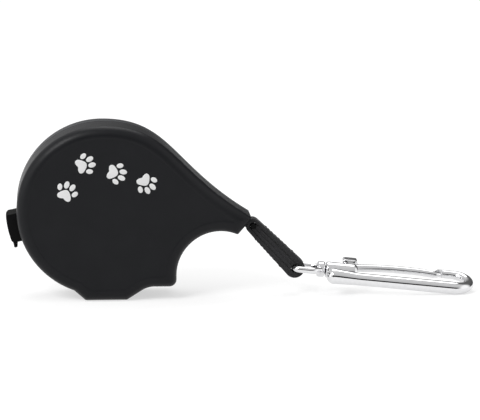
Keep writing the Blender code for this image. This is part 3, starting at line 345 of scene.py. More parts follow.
def swept(path, halves, heights, sides=36, bm=None):
    """A bar with an oval section along a flat path of (x, y) points, with domed ends."""
    path = [Vector(point) for point in path]
    last = len(path) - 1
    rings = []
    for i, point in enumerate(path):
        along = (path[min(i + 1, last)] - path[max(i - 1, 0)]).normalized()
        across = Vector((-along.y, along.x))
        places = [(0.0, 1.0)]
        if i in (0, last):
            sign = -1.0 if i == 0 else 1.0
            dome = [(sign * math.sin(math.radians(a)), math.cos(math.radians(a))) for a in (15, 30, 45, 60, 75, 85)]
            places = dome[::-1] + places if i == 0 else places + dome
        for forward, share in places:
            centre = point + along * forward * halves[i]
            ring = []
            for c, s in circle(1.0, sides):
                flat = centre + across * share * halves[i] * c
                ring.append((flat.x, flat.y, share * heights[i] * s))
            rings.append(ring)
    return loft(rings, bm=bm)


def arc(centre, radius, start, end, steps):
    points = []
    for k in range(steps + 1):
        angle = math.radians(start + (end - start) * k / steps)
        points.append(Vector((centre[0] + radius * math.cos(angle), centre[1] + radius * math.sin(angle))))
    return points


def rounded(before, corner, after, radius, steps=10):
    back = (Vector(before) - Vector(corner)).normalized()
    ahead = (Vector(after) - Vector(corner)).normalized()
    half = back.angle(ahead) / 2
    centre = Vector(corner) + (back + ahead).normalized() * radius / math.sin(half)
    first = Vector(corner) + back * radius / math.tan(half) - centre
    last = Vector(corner) + ahead * radius / math.tan(half) - centre
    turn = first.angle_signed(last)
    return [centre + Matrix.Rotation(-turn * k / steps, 2) @ first for k in range(steps + 1)]


def spline(points, per_span):
    points = [Vector(point) for point in points]
    padded = [2 * points[0] - points[1], *points, 2 * points[-1] - points[-2]]
    found = []
    for a, b, c, d in zip(padded, padded[1:], padded[2:], padded[3:]):
        for k in range(per_span):
            t = k / per_span
            square = 2 * a - 5 * b + 4 * c - d
            cube = 3 * b - a - 3 * c + d
            found.append((2 * b + (c - a) * t + square * t**2 + cube * t**3) / 2)
    found.append(points[-1])
    return found


def piece(name, bm, material, place=None, sharp=35.0):
    """A new object from a body, moved to its place and shaded smooth up to an angle."""
    if place is not None:
        bmesh.ops.transform(bm, matrix=place, verts=bm.verts)
    mesh = bpy.data.meshes.new(name)
    bm.to_mesh(mesh)
    bm.free()
    mesh.materials.append(material)
    mesh.shade_smooth()
    mesh.set_sharp_from_angle(angle=math.radians(sharp))
    made = bpy.data.objects.new(name, mesh)
    bpy.context.scene.collection.objects.link(made)
    return made


def settle(made, sharp=35.0):
    """Applies the modifiers of a piece to its mesh."""
    graph = bpy.context.evaluated_depsgraph_get()
    mesh = bpy.data.meshes.new_from_object(made.evaluated_get(graph))
    made.modifiers.clear()
    made.data = mesh
    mesh.shade_smooth()
    mesh.set_sharp_from_angle(angle=math.radians(sharp))
    return made


def carve(made, operation, *bodies, place=None, solver="EXACT", sharp=35.0):
    """Joins bodies to a piece or cuts them from it."""
    helpers = []
    for bm in bodies:
        helper = piece("helper", bm, made.data.materials[0], place)
        modifier = made.modifiers.new("boolean", "BOOLEAN")
        modifier.operation = operation
        modifier.solver = solver
        modifier.object = helper
        helpers.append(helper)
    settle(made, sharp)
    for helper in helpers:
        bpy.data.objects.remove(helper, do_unlink=True)
    return made


def melt(made, voxel, rounds, factor=0.5):
    """Runs a piece's bodies together with small fillets, as a casting has."""
    remesh = made.modifiers.new("remesh", "REMESH")
    remesh.mode = "VOXEL"
    remesh.voxel_size = voxel
    smooth = made.modifiers.new("smooth", "SMOOTH")
    smooth.factor = factor
    smooth.iterations = rounds
    return settle(made, 60.0)


def dress(made, body, slot, *nodes):
    """Puts a piece on its body and hides the CAD nodes that it stands for; the slot is not used."""
    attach(made, body)
    if nodes:
        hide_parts(*nodes)
    return made


# Case shells

def case_outline():
    """The case's closed outline about the reel axis, as (x, z) points, anticlockwise seen from the front."""
    heel, toe = (Vector(point) for point in FOOT)
    under_chin = Vector(UNDER_CHIN)
    chin = Vector(CHIN)
    meet = 90.0 + math.degrees(math.asin(-(heel.x - FOOT_FLARE) / CASE_RADIUS))
    disc = arc((0.0, 0.0), CASE_RADIUS, 90.0, 360.0 - meet, 120)
    notch = arc(NOTCH, NOTCH_RADIUS, 180.0, LIP_ANGLE, 56)
    top = top_edge(70)
    points = disc
    points += rounded(disc[-1], heel, toe, FOOT_ROUND, 6)
    points.append((heel + toe) / 2)
    points += rounded(heel, toe, under_chin, FOOT_ROUND, 6)
    points += rounded(toe, under_chin, chin, CHIN_EASE, 10)
    points += rounded(under_chin, chin, notch[0], CHIN_ROUND, 10)
    points += notch[:-1]
    points += rounded(notch[-2], notch[-1], top[0], LIP_ROUND, 5)
    points.append((notch[-1] + top[0]) / 2)
    points += rounded(notch[-1], top[0], top[1], LIP_ROUND, 5)
    points += top[1:-1]
    return points


def top_edge(steps):
    """The curve from the snout's tip back up to the disc: hollow at the snout, full at the shoulder."""
    shoulder = Vector((0.0, CASE_RADIUS))
    tip = Vector(SNOUT)
    slope = math.radians(SNOUT_SLOPE)
    off_disc = shoulder + Vector((SHOULDER_PULL, 0.0))
    to_tip = tip + Vector((-math.cos(slope), math.sin(slope))) * SNOUT_PULL
    points = []
    for k in range(steps, -1, -1):
        t = k / steps
        u = 1 - t
        points.append(shoulder * u**3 + off_disc * 3 * u**2 * t + to_tip * 3 * u * t**2 + tip * t**3)
    return points


def inset(outline, distance):
    """The outline moved inwards; points that would cross over gather where the two sides meet."""
    if distance <= 0.0:
        return outline
    before = outline - np.roll(outline, 1, 0)
    before /= np.linalg.norm(before, axis=1)[:, None]
    middle = before + np.roll(before, -1, 0)
    middle /= np.linalg.norm(middle, axis=1)[:, None]
    inward = np.stack([-middle[:, 1], middle[:, 0]], 1)
    reach = (inward * np.stack([-before[:, 1], before[:, 0]], 1)).sum(1)
    moved = outline + inward * (distance / reach)[:, None]
    run = np.roll(outline, -1, 0) - outline
    offset = moved[:, None, :] - outline[None, :, :]
    share = np.clip((offset * run[None]).sum(2) / (run * run).sum(1)[None], 0.0, 1.0)
    nearest = np.linalg.norm(offset - run[None] * share[:, :, None], axis=2).min(1)
    kept = nearest > distance * INSET_SHARE
    count = len(outline)
    start = int(np.argmax(kept))
    order = [(start + k) % count for k in range(count + 1)]
    good = 0
    for spot in range(1, count + 1):
        if not kept[order[spot]]:
            continue
        lost = order[good + 1 : spot]
        if lost:
            a, b, c, d = (Vector(moved[i]) for i in (order[good], lost[0], lost[-1], order[spot]))
            meeting = a + (b - a) * ((c - a).cross(d - c) / (b - a).cross(d - c))
            halfway = (a + d) / 2
            moved[lost] = meeting if (meeting - halfway).length < (a - d).length else halfway
        good = spot
    return moved


def taper(x):
    """How much of the depth is left at x, as the sides close in towards the snout's tip."""
    way = max(0.0, min(1.0, (x - TAPER_START) / (SNOUT[0] - TAPER_START)))
    return 1.0 - (1.0 - SNOUT_SHARE) * way * way * (3 - 2 * way)


def shell(rim_y, face_y, sunk_face):
    """One half of the case: a cup with a rounded edge, a chamfered rim and, on the front, a sunk face."""
    outline = np.array(case_outline())
    inward = 1.0 if face_y < rim_y else -1.0
    levels = [(WALL + INNER_CHAMFER, face_y + inward * WALL)]
    levels.append((WALL, face_y + inward * (WALL + INNER_CHAMFER)))
    levels.append((WALL, rim_y))
    levels.append((RIM_CHAMFER, rim_y))
    levels.append((0.0, rim_y - inward * RIM_CHAMFER))
    for k in range(11):
        angle = math.pi / 2 * k / 10
        levels.append((EDGE_ROUND * (1 - math.cos(angle)), face_y + inward * EDGE_ROUND * (1 - math.sin(angle))))
    if sunk_face:
        levels.append((EDGE_ROUND + FACE_LIP, face_y))
        levels.append((EDGE_ROUND + FACE_LIP + FACE_STEP, face_y + inward * FACE_SINK))
    bm = loft([[(x, y, z) for x, z in inset(outline, step)] for step, y in levels])
    for k in range(24):
        spot = (TAPER_START + (SNOUT[0] - TAPER_START) * k / 24, 0.0, 0.0)
        everything = [*bm.verts, *bm.edges, *bm.faces]
        bmesh.ops.bisect_plane(bm, geom=everything, dist=1e-6, plane_co=spot, plane_no=(1.0, 0.0, 0.0))
    for vert in bm.verts:
        vert.co.y = rim_y + (vert.co.y - rim_y) * taper(vert.co.x)
    return bm


AT_AXIS = Matrix.Translation((0.0, 0.0, AXIS_Z))
AT_BRAKE = AT_AXIS @ Matrix.Rotation(-math.radians(BRAKE_ANGLE), 4, "Y")
AT_MOUTH = Matrix.Translation(MOUTH) @ Matrix.Rotation(-math.atan2(MOUTH_OUT.z, MOUTH_OUT.x), 4, "Y")


def rear_face(x):
    return REAR_RIM_Y + (REAR_Y - REAR_RIM_Y) * taper(x)


def make_case():
    slot_low = (FLANGE_OUT - WALL, -BUTTON_SIDE - 0.0003, -BUTTON_HALF - 0.0003)
    slot_high = (BUTTON_REACH, BUTTON_SIDE + 0.0003, BUTTON_HALF + 0.0003)
    for name, rim_y, face_y in (("front", FRONT_RIM_Y, FRONT_Y), ("rear", REAR_RIM_Y, REAR_Y)):
        # The rear shell takes the copy of the case plastic whose colour holds a painted highlight
        plastic = CASE_BLACK if name == "front" else CASE_REAR_PAINTED_LIGHT
        made = piece("case_" + name, shell(rim_y, face_y, name == "front"), plastic, AT_AXIS)
        carve(made, "DIFFERENCE", block(slot_low, slot_high), place=AT_BRAKE, solver="MANIFOLD")
        hole = rod((-0.0048, 0.0, 0.0), (GUIDE_LENGTH, 0.0, 0.0), GUIDE_RADIUS + 0.0003, 40)
        carve(made, "DIFFERENCE", hole, place=AT_MOUTH, solver="MANIFOLD")
        if name == "rear":
            sinks = bmesh.new()
            for x, z in SCREWS:
                rod((x, rear_face(x) - HEAD_SINK - HEAD_HEIGHT, z), (x, REAR_Y + WALL, z), HEAD_HOLE, 40, bm=sinks)
            carve(made, "DIFFERENCE", sinks, place=AT_AXIS, solver="MANIFOLD")
        modifier = made.modifiers.new("normals", "WEIGHTED_NORMAL")
        modifier.keep_sharp = True
        dress(made, "case", "case", name + "_shell")


make_case()


def at(origin, x, y, z):
    """The placing matrix of a frame with these axes."""
    return Matrix.Translation(origin) @ Matrix((x, y, z)).transposed().to_4x4()


AT_STRAP = Matrix.Translation(STRAP_ROOT) @ Matrix.Rotation(-math.radians(STRAP_ANGLE), 4, "Y")
AT_EYE = at(SNAP_ORIGIN, SNAP_X, Vector((0.0, 1.0, 0.0)), EYE_Z)
AT_SNAP = at(SNAP_ORIGIN, SNAP_X, SNAP_Y, SNAP_Z)
AT_GATE = AT_SNAP @ Matrix.Translation((*PIVOT, 0.0))


# Plain paw prints on the front face

def closed_curve(points, per_span):
    """A smooth closed curve through points."""
    count = len(points)
    points = [Vector(point) for point in points]
    found = []
    for i in range(count):
        a, b, c, d = (points[(i + k) % count] for k in (-1, 0, 1, 2))
        for k in range(per_span):
            t = k / per_span
            square = 2 * a - 5 * b + 4 * c - d
            cube = 3 * b - a - 3 * c + d
            found.append((2 * b + (c - a) * t + square * t**2 + cube * t**3) / 2)
    return found


def print_pad(bm, outline):
    """One pad of print: a thin cushion of ink that stands on the face with a soft edge."""
    middle = sum(outline, Vector((0.0, 0.0))) / len(outline)
    rings = []
    for share, y in ((1.0, FACE_Y + 0.00003), (1.0, PRINT_Y + 0.00004), (0.97, PRINT_Y + 0.00001), (0.92, PRINT_Y)):
        rings.append([(q.x, y, q.y) for q in (middle + (point - middle) * share for point in outline)])
    loft(rings, bm=bm)


def make_prints():
    bm = bmesh.new()
    heel = closed_curve(PAW_HEEL, 6)
    for angle, radius in PAWS:
        turn = math.radians(angle)
        centre = Vector((math.cos(turn), math.sin(turn))) * radius
        spin = Matrix.Rotation(turn + math.pi, 2)
        pads = [heel]
        for x, z, wide, tall, lean in PAW_TOES:
            tilt = Matrix.Rotation(math.radians(lean), 2)
            pads.append([Vector((x, z)) + tilt @ Vector((wide * c, tall * s)) for c, s in circle(1.0, 32)])
        for pad in pads:
            print_pad(bm, [centre + spin @ point for point in pad])
    dress(piece("paw_prints", bm, PRINT_WHITE, AT_AXIS), "case", None)


make_prints()


# Thumb button

def make_button():
    rows = 40
    columns = 10 * BUTTON_RIBS
    rings = []
    for i in range(rows + 1):
        t = BUTTON_HALF * math.sin(math.pi * (i / rows - 0.5))
        ends = edge_drop(BUTTON_HALF - abs(t))
        top = math.sqrt(BUTTON_REACH**2 - t**2) - ends
        base = math.sqrt((FLANGE_OUT - 0.0004) ** 2 - t**2)
        ring = [(base, -BUTTON_SIDE, t)]
        for j in range(columns + 1):
            way = j / columns
            y = BUTTON_SIDE * math.sin(math.pi * (way - 0.5) * 0.96) / math.sin(math.pi * 0.48)
            groove = (1.0 - math.cos(2 * math.pi * BUTTON_RIBS * (y / BUTTON_SIDE + 1.0) / 2.0)) / 2.0
            ring.append((top - BUTTON_RIB_DEPTH * groove**0.7 - edge_drop(BUTTON_SIDE - abs(y)), y, t))
        ring.append((base, BUTTON_SIDE, t))
        rings.append(ring)
    button = piece("thumb_button", loft(rings), BUTTON_BLACK)
    lap = 0.0013
    spread = math.degrees((BUTTON_HALF + lap) / FLANGE_OUT)
    rim = arc((0.0, 0.0), FLANGE_OUT, -spread, spread, 40) + arc((0.0, 0.0), FLANGE_IN, spread, -spread, 40)
    flange = slab(rim, -BUTTON_SIDE - lap, BUTTON_SIDE + lap)
    pawl = slab(((0.0313, -0.0017), (0.0313, 0.0017), (0.0286, 0.0009), (0.0286, -0.0009)), 0.00049, 0.00161)
    lip = block((0.03607, -BUTTON_SIDE + lap, BUTTON_HALF - 0.0024), (0.03747, BUTTON_SIDE - lap, BUTTON_HALF + 0.0024))
    for body, offset in ((pawl, 0.00015), (lip, 0.00045)):
        bmesh.ops.bevel(body, geom=body.edges[:], offset=offset, segments=4, profile=0.5, affect="EDGES")
    carve(button, "UNION", flange, pawl, lip)
    button.data.transform(AT_BRAKE)
    dress(button, "button", "button", "brake_button")


def edge_drop(distance):
    """How far a rounded edge falls at a distance from the side."""
    short = max(0.0, BUTTON_EDGE - distance)
    return BUTTON_EDGE - math.sqrt(BUTTON_EDGE**2 - short**2)


make_button()


# Strap

def belt_side(x):
    """Half the strap's thickness at x along it."""
    return ROOT_RADIUS + (TIP_RADIUS - ROOT_RADIUS) * x / STRAP_LENGTH


def fold_side(x):
    """Half the room inside the outer belt at x along it."""
    return FOLD_ROOT + (FOLD_TIP - FOLD_ROOT) * x / STRAP_LENGTH


def weave(across, along):
    """The height of plain-woven yarn, from -1 to 1."""
    return math.cos(math.pi * across / YARN) * math.cos(math.pi * along / PICK)


def band(centre, out, deep, along, bm_rings):
    """One section of webbing: a flat band whose outer and inner faces and selvedges follow the yarn."""
    half = STRAP_HALF - YARN_DEPTH
    ring = []
    outline = rounded_band(half, deep / 2)
    for y, d in outline:
        flat = min(1.0, (half - abs(y)) / (0.4 * deep)) if abs(y) < half else 0.0
        lift = YARN_DEPTH * weave(y, along) * flat * (1.0 if d > 0.0 else 0.6)
        side = YARN_DEPTH * (1.0 - flat) * math.cos(2 * math.pi * along / PICK + (1.5 if y > 0.0 else 0.0))
        spot = centre + out * (d + math.copysign(lift, d) - math.copysign(YARN_DEPTH, d))
        ring.append((spot.x, y + math.copysign(side, y), spot.y))
    bm_rings.append(ring)


def rounded_band(half, deep):
    """The (y, d) outline of a band's section with softly squared selvedges."""
    edge = min(SELVEDGE, deep)
    points = []
    for sign in (1.0, -1.0):
        for k in range(29):
            points.append((sign * (half - edge) * (1 - 2 * k / 28), sign * deep))
        for k in range(1, 8):
            angle = math.pi * k / 8
            points.append((-sign * (half - edge + edge * math.sin(angle) ** 0.6), sign * deep * math.cos(angle)))
    return points


def make_strap():
    rings = []
    run = []
    root = Vector((0.0, 0.0))
    tip = Vector((STRAP_LENGTH, 0.0))
    steps = 84
    for k in range(steps):
        x = STRAP_LENGTH * k / steps
        run.append((Vector((x, 0.0)), Vector((0.0, 1.0)), x))
    for k in range(36):
        angle = math.pi / 2 - math.pi * k / 36
        run.append((tip, Vector((math.cos(angle), math.sin(angle))), STRAP_LENGTH))
    for k in range(steps):
        x = STRAP_LENGTH * (1 - k / steps)
        run.append((Vector((x, 0.0)), Vector((0.0, -1.0)), x))
    for k in range(28):
        angle = -math.pi / 2 - math.pi * k / 28
        run.append((root, Vector((math.cos(angle), math.sin(angle))), 0.0))
    travelled = 0.0
    before = None
    total = 2 * STRAP_LENGTH + math.pi * (ROOT_RADIUS + TIP_RADIUS)
    picks = 2 * round(total / PICK / 2)
    spots = []
    for axis_point, out, x in run:
        outer = axis_point + out * belt_side(x)
        travelled += (outer - before).length if before is not None else 0.0
        before = outer
        spots.append((axis_point, out, x, travelled))
    scale = picks * PICK / (travelled + (spots[0][0] + spots[0][1] * belt_side(0.0) - before).length)
    for axis_point, out, x, along in spots:
        low = fold_side(x)
        high = belt_side(x)
        band(axis_point + out * (low + high) / 2, out, high - low, along * scale, rings)
    loop = piece("strap_loop", loft(rings, wrap=True), WEBBING, AT_STRAP, 70.0)
    dress(loop, "strap", "webbing", "strap")

    bm = bmesh.new()
    for sign in (1.0, -1.0):
        rings = []
        for k in range(97):
            x = 0.0006 + (STRAP_LENGTH - 0.0007) * k / 96
            high = fold_side(x) - 0.00003
            round_toggle = math.sqrt(max(0.0, TOGGLE_ROOM**2 - x**2))
            round_bar = math.sqrt(max(0.0, BAR_ROOM**2 - (STRAP_LENGTH - x) ** 2))
            low = max(0.00001, round_toggle, round_bar)
            deep = high - low + 2 * YARN_DEPTH
            band(Vector((x, sign * (low + high) / 2)), Vector((0.0, sign)), deep, x + PICK / 2, rings)
        loft(rings, bm=bm)
    dress(piece("strap_tails", bm, WEBBING, AT_STRAP, 70.0), "strap", "webbing")

    bm = bmesh.new()
    for sign in (1.0, -1.0):
        for y in (-0.0019, 0.0019):
            for k in range(6):
                stitch(bm, 0.0062 + 0.0019 * k, y, sign, 0.0016, 0.00016)
        for x in (0.0048, 0.0194):
            for k in range(11):
                stitch(bm, x, 0.00042 * (k - 5), sign, 0.0013, 0.0002)
    dress(piece("strap_stitches", bm, THREAD, AT_STRAP, 70.0), "strap", "webbing")


def stitch(bm, x, y, sign, length, thick):
    """One stitch of thread that dips into the webbing at both ends."""
    points = []
    for k in range(9):
        way = k / 8
        spot = x + length * (way - 0.5)
        rise = thick * (2.0 * math.sin(math.pi * way) ** 0.5 - 1.6)
        points.append((spot, y, sign * (belt_side(spot) - YARN_DEPTH + rise)))
    tube(points, thick, 8, bm=bm)


make_strap()


# Chrome snap: eye, casting, gate and pin

def fine_path(corners, radii):
    """A flat path with a fillet at each inner corner."""
    path = [Vector(corners[0])]
    for before, corner, after, radius in zip(corners, corners[1:], corners[2:], radii):
        path += rounded(before, corner, after, radius, 12)
    path.append(Vector(corners[-1]))
    return path


def make_eye():
    bend = 0.0022
    corners = [(EYE_LENGTH, -0.0028), (0.0078, -EYE_SIDE), (0.0, -EYE_SIDE)]
    corners += [(x, -y) for x, y in corners[::-1]]
    path = fine_path(corners, (2 * bend, bend, bend, 2 * bend))
    bar = [EYE_BAR] * len(path)
    bm = swept(path, bar, bar)
    profile = [(0.0, 0.0091), (0.0022, 0.0091), (0.0028, 0.0093), (0.0031, 0.0097), (0.0032, 0.0102)]
    profile += [(0.0032, 0.0117), (0.0031, 0.0121), (0.0028, 0.0123), (0.0014, 0.0123), (0.0014, 0.0144)]
    profile += [(0.0022, 0.0144), (0.0022, 0.0159), (0.0, 0.0159)]
    turned(profile, 48, bm=bm)
    eye = melt(piece("eye_stirrup", bm, CHROME), 0.00016, 10)
    eye.data.transform(AT_EYE)
    dress(eye, "eye", "chrome", "swivel_eye")


def snap_path():
    """The snap's flank beside the barrel, its spine, nose and tip, as (x, y) points with the bar's radii."""
    flank = Vector((BARREL[0] + FLANK_RADIUS, -FLANK_SIDE))
    bend = rounded(flank, (BARREL[1], -ARM_SIDE), (NOSE_X, -ARM_SIDE), 0.03, 10)
    path = [flank.lerp(bend[0], k / 12) for k in range(12)] + bend
    radii = [FLANK_RADIUS + (SPINE_RADIUS - FLANK_RADIUS) * k / 12 for k in range(12)] + [SPINE_RADIUS] * len(bend)
    for k in range(1, 16):
        path.append(bend[-1].lerp(Vector((NOSE_X, -ARM_SIDE)), k / 16))
        radii.append(SPINE_RADIUS)
    around = arc((NOSE_X, 0.0), ARM_SIDE, -90.0, 90.0, 48)
    path += around
    for k in range(len(around)):
        way = k / (len(around) - 1)
        to_nose = (NOSE_RADIUS - SPINE_RADIUS) * min(1.0, 3 * way)
        radii.append(SPINE_RADIUS + to_nose + (TIP_END - NOSE_RADIUS) * way**3)
    path.append(Vector((TIP_X, ARM_SIDE)))
    radii.append(TIP_END)
    return path, radii


def make_casting():
    path, radii = snap_path()
    radii = [CAST_SHARE * radius for radius in radii]
    bm = swept(path, radii, radii)
    start, front = BARREL
    wide = BARREL_RADIUS
    profile = [(0.0, start), (wide - 0.0008, start), (wide - 0.0003, start + 0.0002), (wide, start + 0.0007)]
    profile += [(wide, front - 0.0016), (wide - 0.0003, front - 0.0007), (wide - 0.001, front - 0.0001)]
    profile += [(wide - 0.0015, front), (0.0, front)]
    turned(profile, 64, bm=bm)
    casting = melt(piece("snap_casting", bm, CHROME), 0.00022, 10)
    socket = [(0.0, start - 0.001), (0.0017, start - 0.001), (0.0017, 0.0141), (0.0025, 0.0141)]
    socket += [(0.0025, 0.0162), (0.0, 0.0162)]
    slot = block((0.0167, -0.0024, -0.0019), (front + SPINE_RADIUS, 0.0095, 0.0019))
    hole = rod((*PIVOT, -0.0045), (*PIVOT, 0.0045), 0.0012, 40)
    lap = block((TIP_X - 2 * TIP_END, 0.0, -2 * TIP_END), (TIP_X + LAP, ARM_SIDE, 2 * TIP_END))
    carve(casting, "DIFFERENCE", turned(socket, 48), slot, hole, lap, solver="MANIFOLD", sharp=40.0)
    casting.data.transform(AT_SNAP)
    dress(casting, "hook", "chrome", "hook_body")


def make_gate():
    closed = ARM_SIDE - PIVOT[1]
    reach = TIP_X + LAP - PIVOT[0]
    lap_start = TIP_X - TIP_END - 0.0003 - PIVOT[0]
    front = BARREL[1] - PIVOT[0]
    shape = [(-0.0005, 0.0, 0.002), (0.00165, 0.0005, 0.002), (front, closed * 0.55, 0.00176)]
    shape += [(front + 2 * ARM_SIDE, closed - 0.0003, 0.0016), (reach - 0.0096, closed - 0.0003, 0.0016)]
    shape += [(lap_start, closed - 0.0015, 0.0012), (reach - 0.0011, closed - 0.0011, 0.0008)]
    lever = spline(shape, 14)
    widths = [width for _, _, width in lever]
    bm = swept([(x, y) for x, y, _ in lever], widths, [min(0.00155, 1.2 * width) for width in widths])
    back = 0.00066
    surface = BARREL_RADIUS - PIVOT[1]
    rim = 0.0007375
    rings = []
    levels = ((0.001, 2 * rim, 0.0014), (surface + 2 * rim, 2 * rim, 0.0014), (surface + 3 * rim, 0.0, 0.0027))
    levels += ((surface + 7 * rim, 0.0, 0.0027), (surface + 8 * rim, rim, 0.0027 - rim))
    for y, shrink, half in levels:
        x0 = back + shrink
        x1 = back + 0.006 - shrink
        outline = []
        for a, b, c in (((x0, -half), (x1, -half), (x1, half)), ((x1, -half), (x1, half), (x0, half)),
                        ((x1, half), (x0, half), (x0, -half)), ((x0, half), (x0, -half), (x1, -half))):
            outline += rounded(a, b, c, 0.0008, 6)
        rings.append([(x, y, z) for x, z in outline])
    loft(rings, bm=bm)
    gate = melt(piece("gate_lever", bm, CHROME), 0.00018, 8)
    cuts = rod((0.0, 0.0, -0.0045), (0.0, 0.0, 0.0045), 0.0012, 40)
    for k in range(3):
        x = back + 0.0018 + 0.0012 * k
        rod((x, surface + 8 * rim + 0.00012, -0.004), (x, surface + 8 * rim + 0.00012, 0.004), 0.00038, 24, bm=cuts)
    carve(gate, "DIFFERENCE", cuts, solver="MANIFOLD", sharp=40.0)
    gate.data.transform(AT_GATE)
    dress(gate, "gate", "chrome", "hook_gate")

    half = 0.00258
    profile = [(0.0, -half), (0.0005, -half + 0.00005), (0.0008, -half + 0.0002), (0.0009, -half + 0.0005)]
    profile += [(r, -x) for r, x in profile[::-1]]
    pin = turned(profile, 40)
    upright = Matrix.Rotation(-math.pi / 2, 4, "Y")
    dress(piece("gate_rivet", pin, CHROME, AT_GATE @ upright), "hook", "chrome", "gate_pin")


make_eye()
make_casting()
make_gate()


# Springs

def make_springs():
    points = []
    turns = 3.0
    for k in range(121):
        way = k / 120
        angle = 2 * math.pi * turns * way
        lift = COIL_LOW + (COIL_HIGH - COIL_LOW) * way
        points.append((COIL_X + 0.001 * math.cos(angle), lift, 0.001 * math.sin(angle)))
    coil = piece("gate_coil", tube(points, 0.0002, 12), STEEL, AT_SNAP, 70.0)
    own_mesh(dress(coil, "hook", "steel", "gate_spring"))

    rings = []
    for k in range(49):
        t = LEAF_LENGTH * (k / 48 - 0.5)
        crest = LEAF_CREST - LEAF_BOW * (2 * t / LEAF_LENGTH) ** 2
        low = crest - 0.0003
        rings.append([(crest, -0.0038, t), (crest, -0.0003, t), (low, -0.0003, t), (low, -0.0038, t)])
    leaf = piece("brake_leaf", loft(rings), STEEL, AT_BRAKE)
    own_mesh(dress(leaf, "case", "steel", "brake_spring"))


make_springs()


# Screws and mouth guide

def make_fittings():
    for number, (x, z) in enumerate(SCREWS, 1):
        head = REAR_Y - HEAD_SINK - (REAR_Y - rear_face(x))
        seat = head - HEAD_HEIGHT
        point = seat - 0.014
        profile = [(0.0, head), (0.0016, head - 0.00003), (0.0021, head - 0.00015), (0.0024, head - 0.0005)]
        profile += [(HEAD_RADIUS, seat), (0.001, seat), (0.001, point + 0.001), (0.0, point)]
        along_y = Matrix(((0.0, -1.0, 0.0, 0.0), (1.0, 0.0, 0.0, 0.0), (0.0, 0.0, 1.0, 0.0), (0.0, 0.0, 0.0, 1.0)))
        screw = piece(f"cross_screw_{number}", turned(profile, 48), STEEL, along_y)
        spin = Matrix.Rotation(math.radians(35.0 * number), 4, "Y")
        for wide, tall in ((0.0013, 0.00032), (0.00032, 0.0013)):
            cut = block((-wide, head - 0.0007, -tall), (wide, head + 0.001, tall))
            carve(screw, "DIFFERENCE", cut, place=spin)
        screw.data.transform(AT_AXIS @ Matrix.Translation((x, 0.0, z)))
        dress(screw, "case", "steel", f"case_screw_{number}")

    bore = CORD_RADIUS + 0.00045
    profile = [(bore + 0.00025, -GUIDE_LENGTH), (GUIDE_RADIUS - 0.0001, -GUIDE_LENGTH), (GUIDE_RADIUS, -GUIDE_LENGTH + 0.0001)]
    profile += [(GUIDE_RADIUS, -0.00025), (GUIDE_RADIUS - 0.0001, -0.00015)]
    for k in range(9):
        angle = math.pi / 2 * k / 8
        profile.append((bore + 0.0005 * (1 - math.sin(angle)), -0.00015 - 0.0005 * (1 - math.cos(angle))))
    profile += [(bore, -GUIDE_LENGTH + 0.0005)]
    dress(piece("mouth_ring", turned(profile, 64), GUIDE_BLACK, AT_MOUTH), "case", "guide", "mouth_guide")


make_fittings()


# Cord

def make_cord():
    points = []
    turns = 3.6
    steps = 48
    for layer in range(6):
        radius = 0.0132 + 0.0018 * layer
        count = round(turns * steps)
        for k in range(count):
            way = k / count
            climb = 0.0018 * max(0.0, (way - 0.96) / 0.04)
            across = way if layer % 2 == 0 else 1.0 - way
            angle = 2 * math.pi * (turns * layer + turns * way)
            spread = (radius + climb) * Vector((math.cos(angle), 0.0, math.sin(angle)))
            points.append(spread + Vector((0.0, -0.0075 + 0.0066 * across, 0.0)))
    wound = piece("cord_layers", tube(points, 0.0009, 10), BRAID, AT_AXIS, 70.0)
    dress(wound, "reel", "cord", "cord_core")

    entry = Vector((MOUTH.x, 0.0, MOUTH.z - AXIS_Z)) - MOUTH_OUT * GUIDE_LENGTH
    leave_angle = math.atan2(entry.z, entry.x) + math.acos(LAYER_RADIUS / entry.length)
    leave = Vector((LAYER_RADIUS * math.cos(leave_angle), -0.0074, LAYER_RADIUS * math.sin(leave_angle)))
    clear = leave.lerp(entry, 0.35)
    clear.y = leave.y
    points = []
    for k in range(150):
        way = k / 150
        angle = leave_angle + 2 * math.pi * 2.5 * (1 - way)
        y = -0.001 + (leave.y + 0.001) * way
        points.append(Vector((LAYER_RADIUS * math.cos(angle), y, LAYER_RADIUS * math.sin(angle))))
    end = entry + MOUTH_OUT * (GUIDE_LENGTH - 0.0012)
    points += spline([leave, clear, clear.lerp(entry, 1 / 3), clear.lerp(entry, 2 / 3), entry, end], 10)
    run = piece("cord_winding", tube(points, CORD_RADIUS, 16), BRAID, AT_AXIS, 70.0)
    dress(run, "case", "cord", "cord")

    inside = MOUTH - MOUTH_OUT * 0.0022
    path = spline([inside, MOUTH, MOUTH.lerp(STRAP_ROOT, 0.55) - Vector((0.0, 0.0, 0.0001)), STRAP_ROOT], 12)
    rings = []
    for i, point in enumerate(path):
        way = path[min(i + 1, len(path) - 1)] - path[max(i - 1, 0)]
        size = CORD_RADIUS * (0.97 - 0.3 * max(0.0, 3 * i / (len(path) - 1) - 2))
        tall = size * math.hypot(way.x, way.z) / way.x
        rings.append([(point.x, size * c, point.z + tall * s) for c, s in circle(1.0, 24)])
    lead = piece("pulled_cord", loft(rings), BRAID, None, 70.0)
    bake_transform(lead)


make_cord()


# Materials on the CAD nodes that stay

def paint(material, *names):
    for name in names:
        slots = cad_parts[name].data.materials
        slots.clear()
        slots.append(material)


paint(REEL_WHITE, "reel")
paint(COVER_BLACK, "spring_cover")
paint(STEEL, "main_spring", "reel_axle")
paint(TOGGLE_BLACK, "cord_stop")


# Stage, light and camera

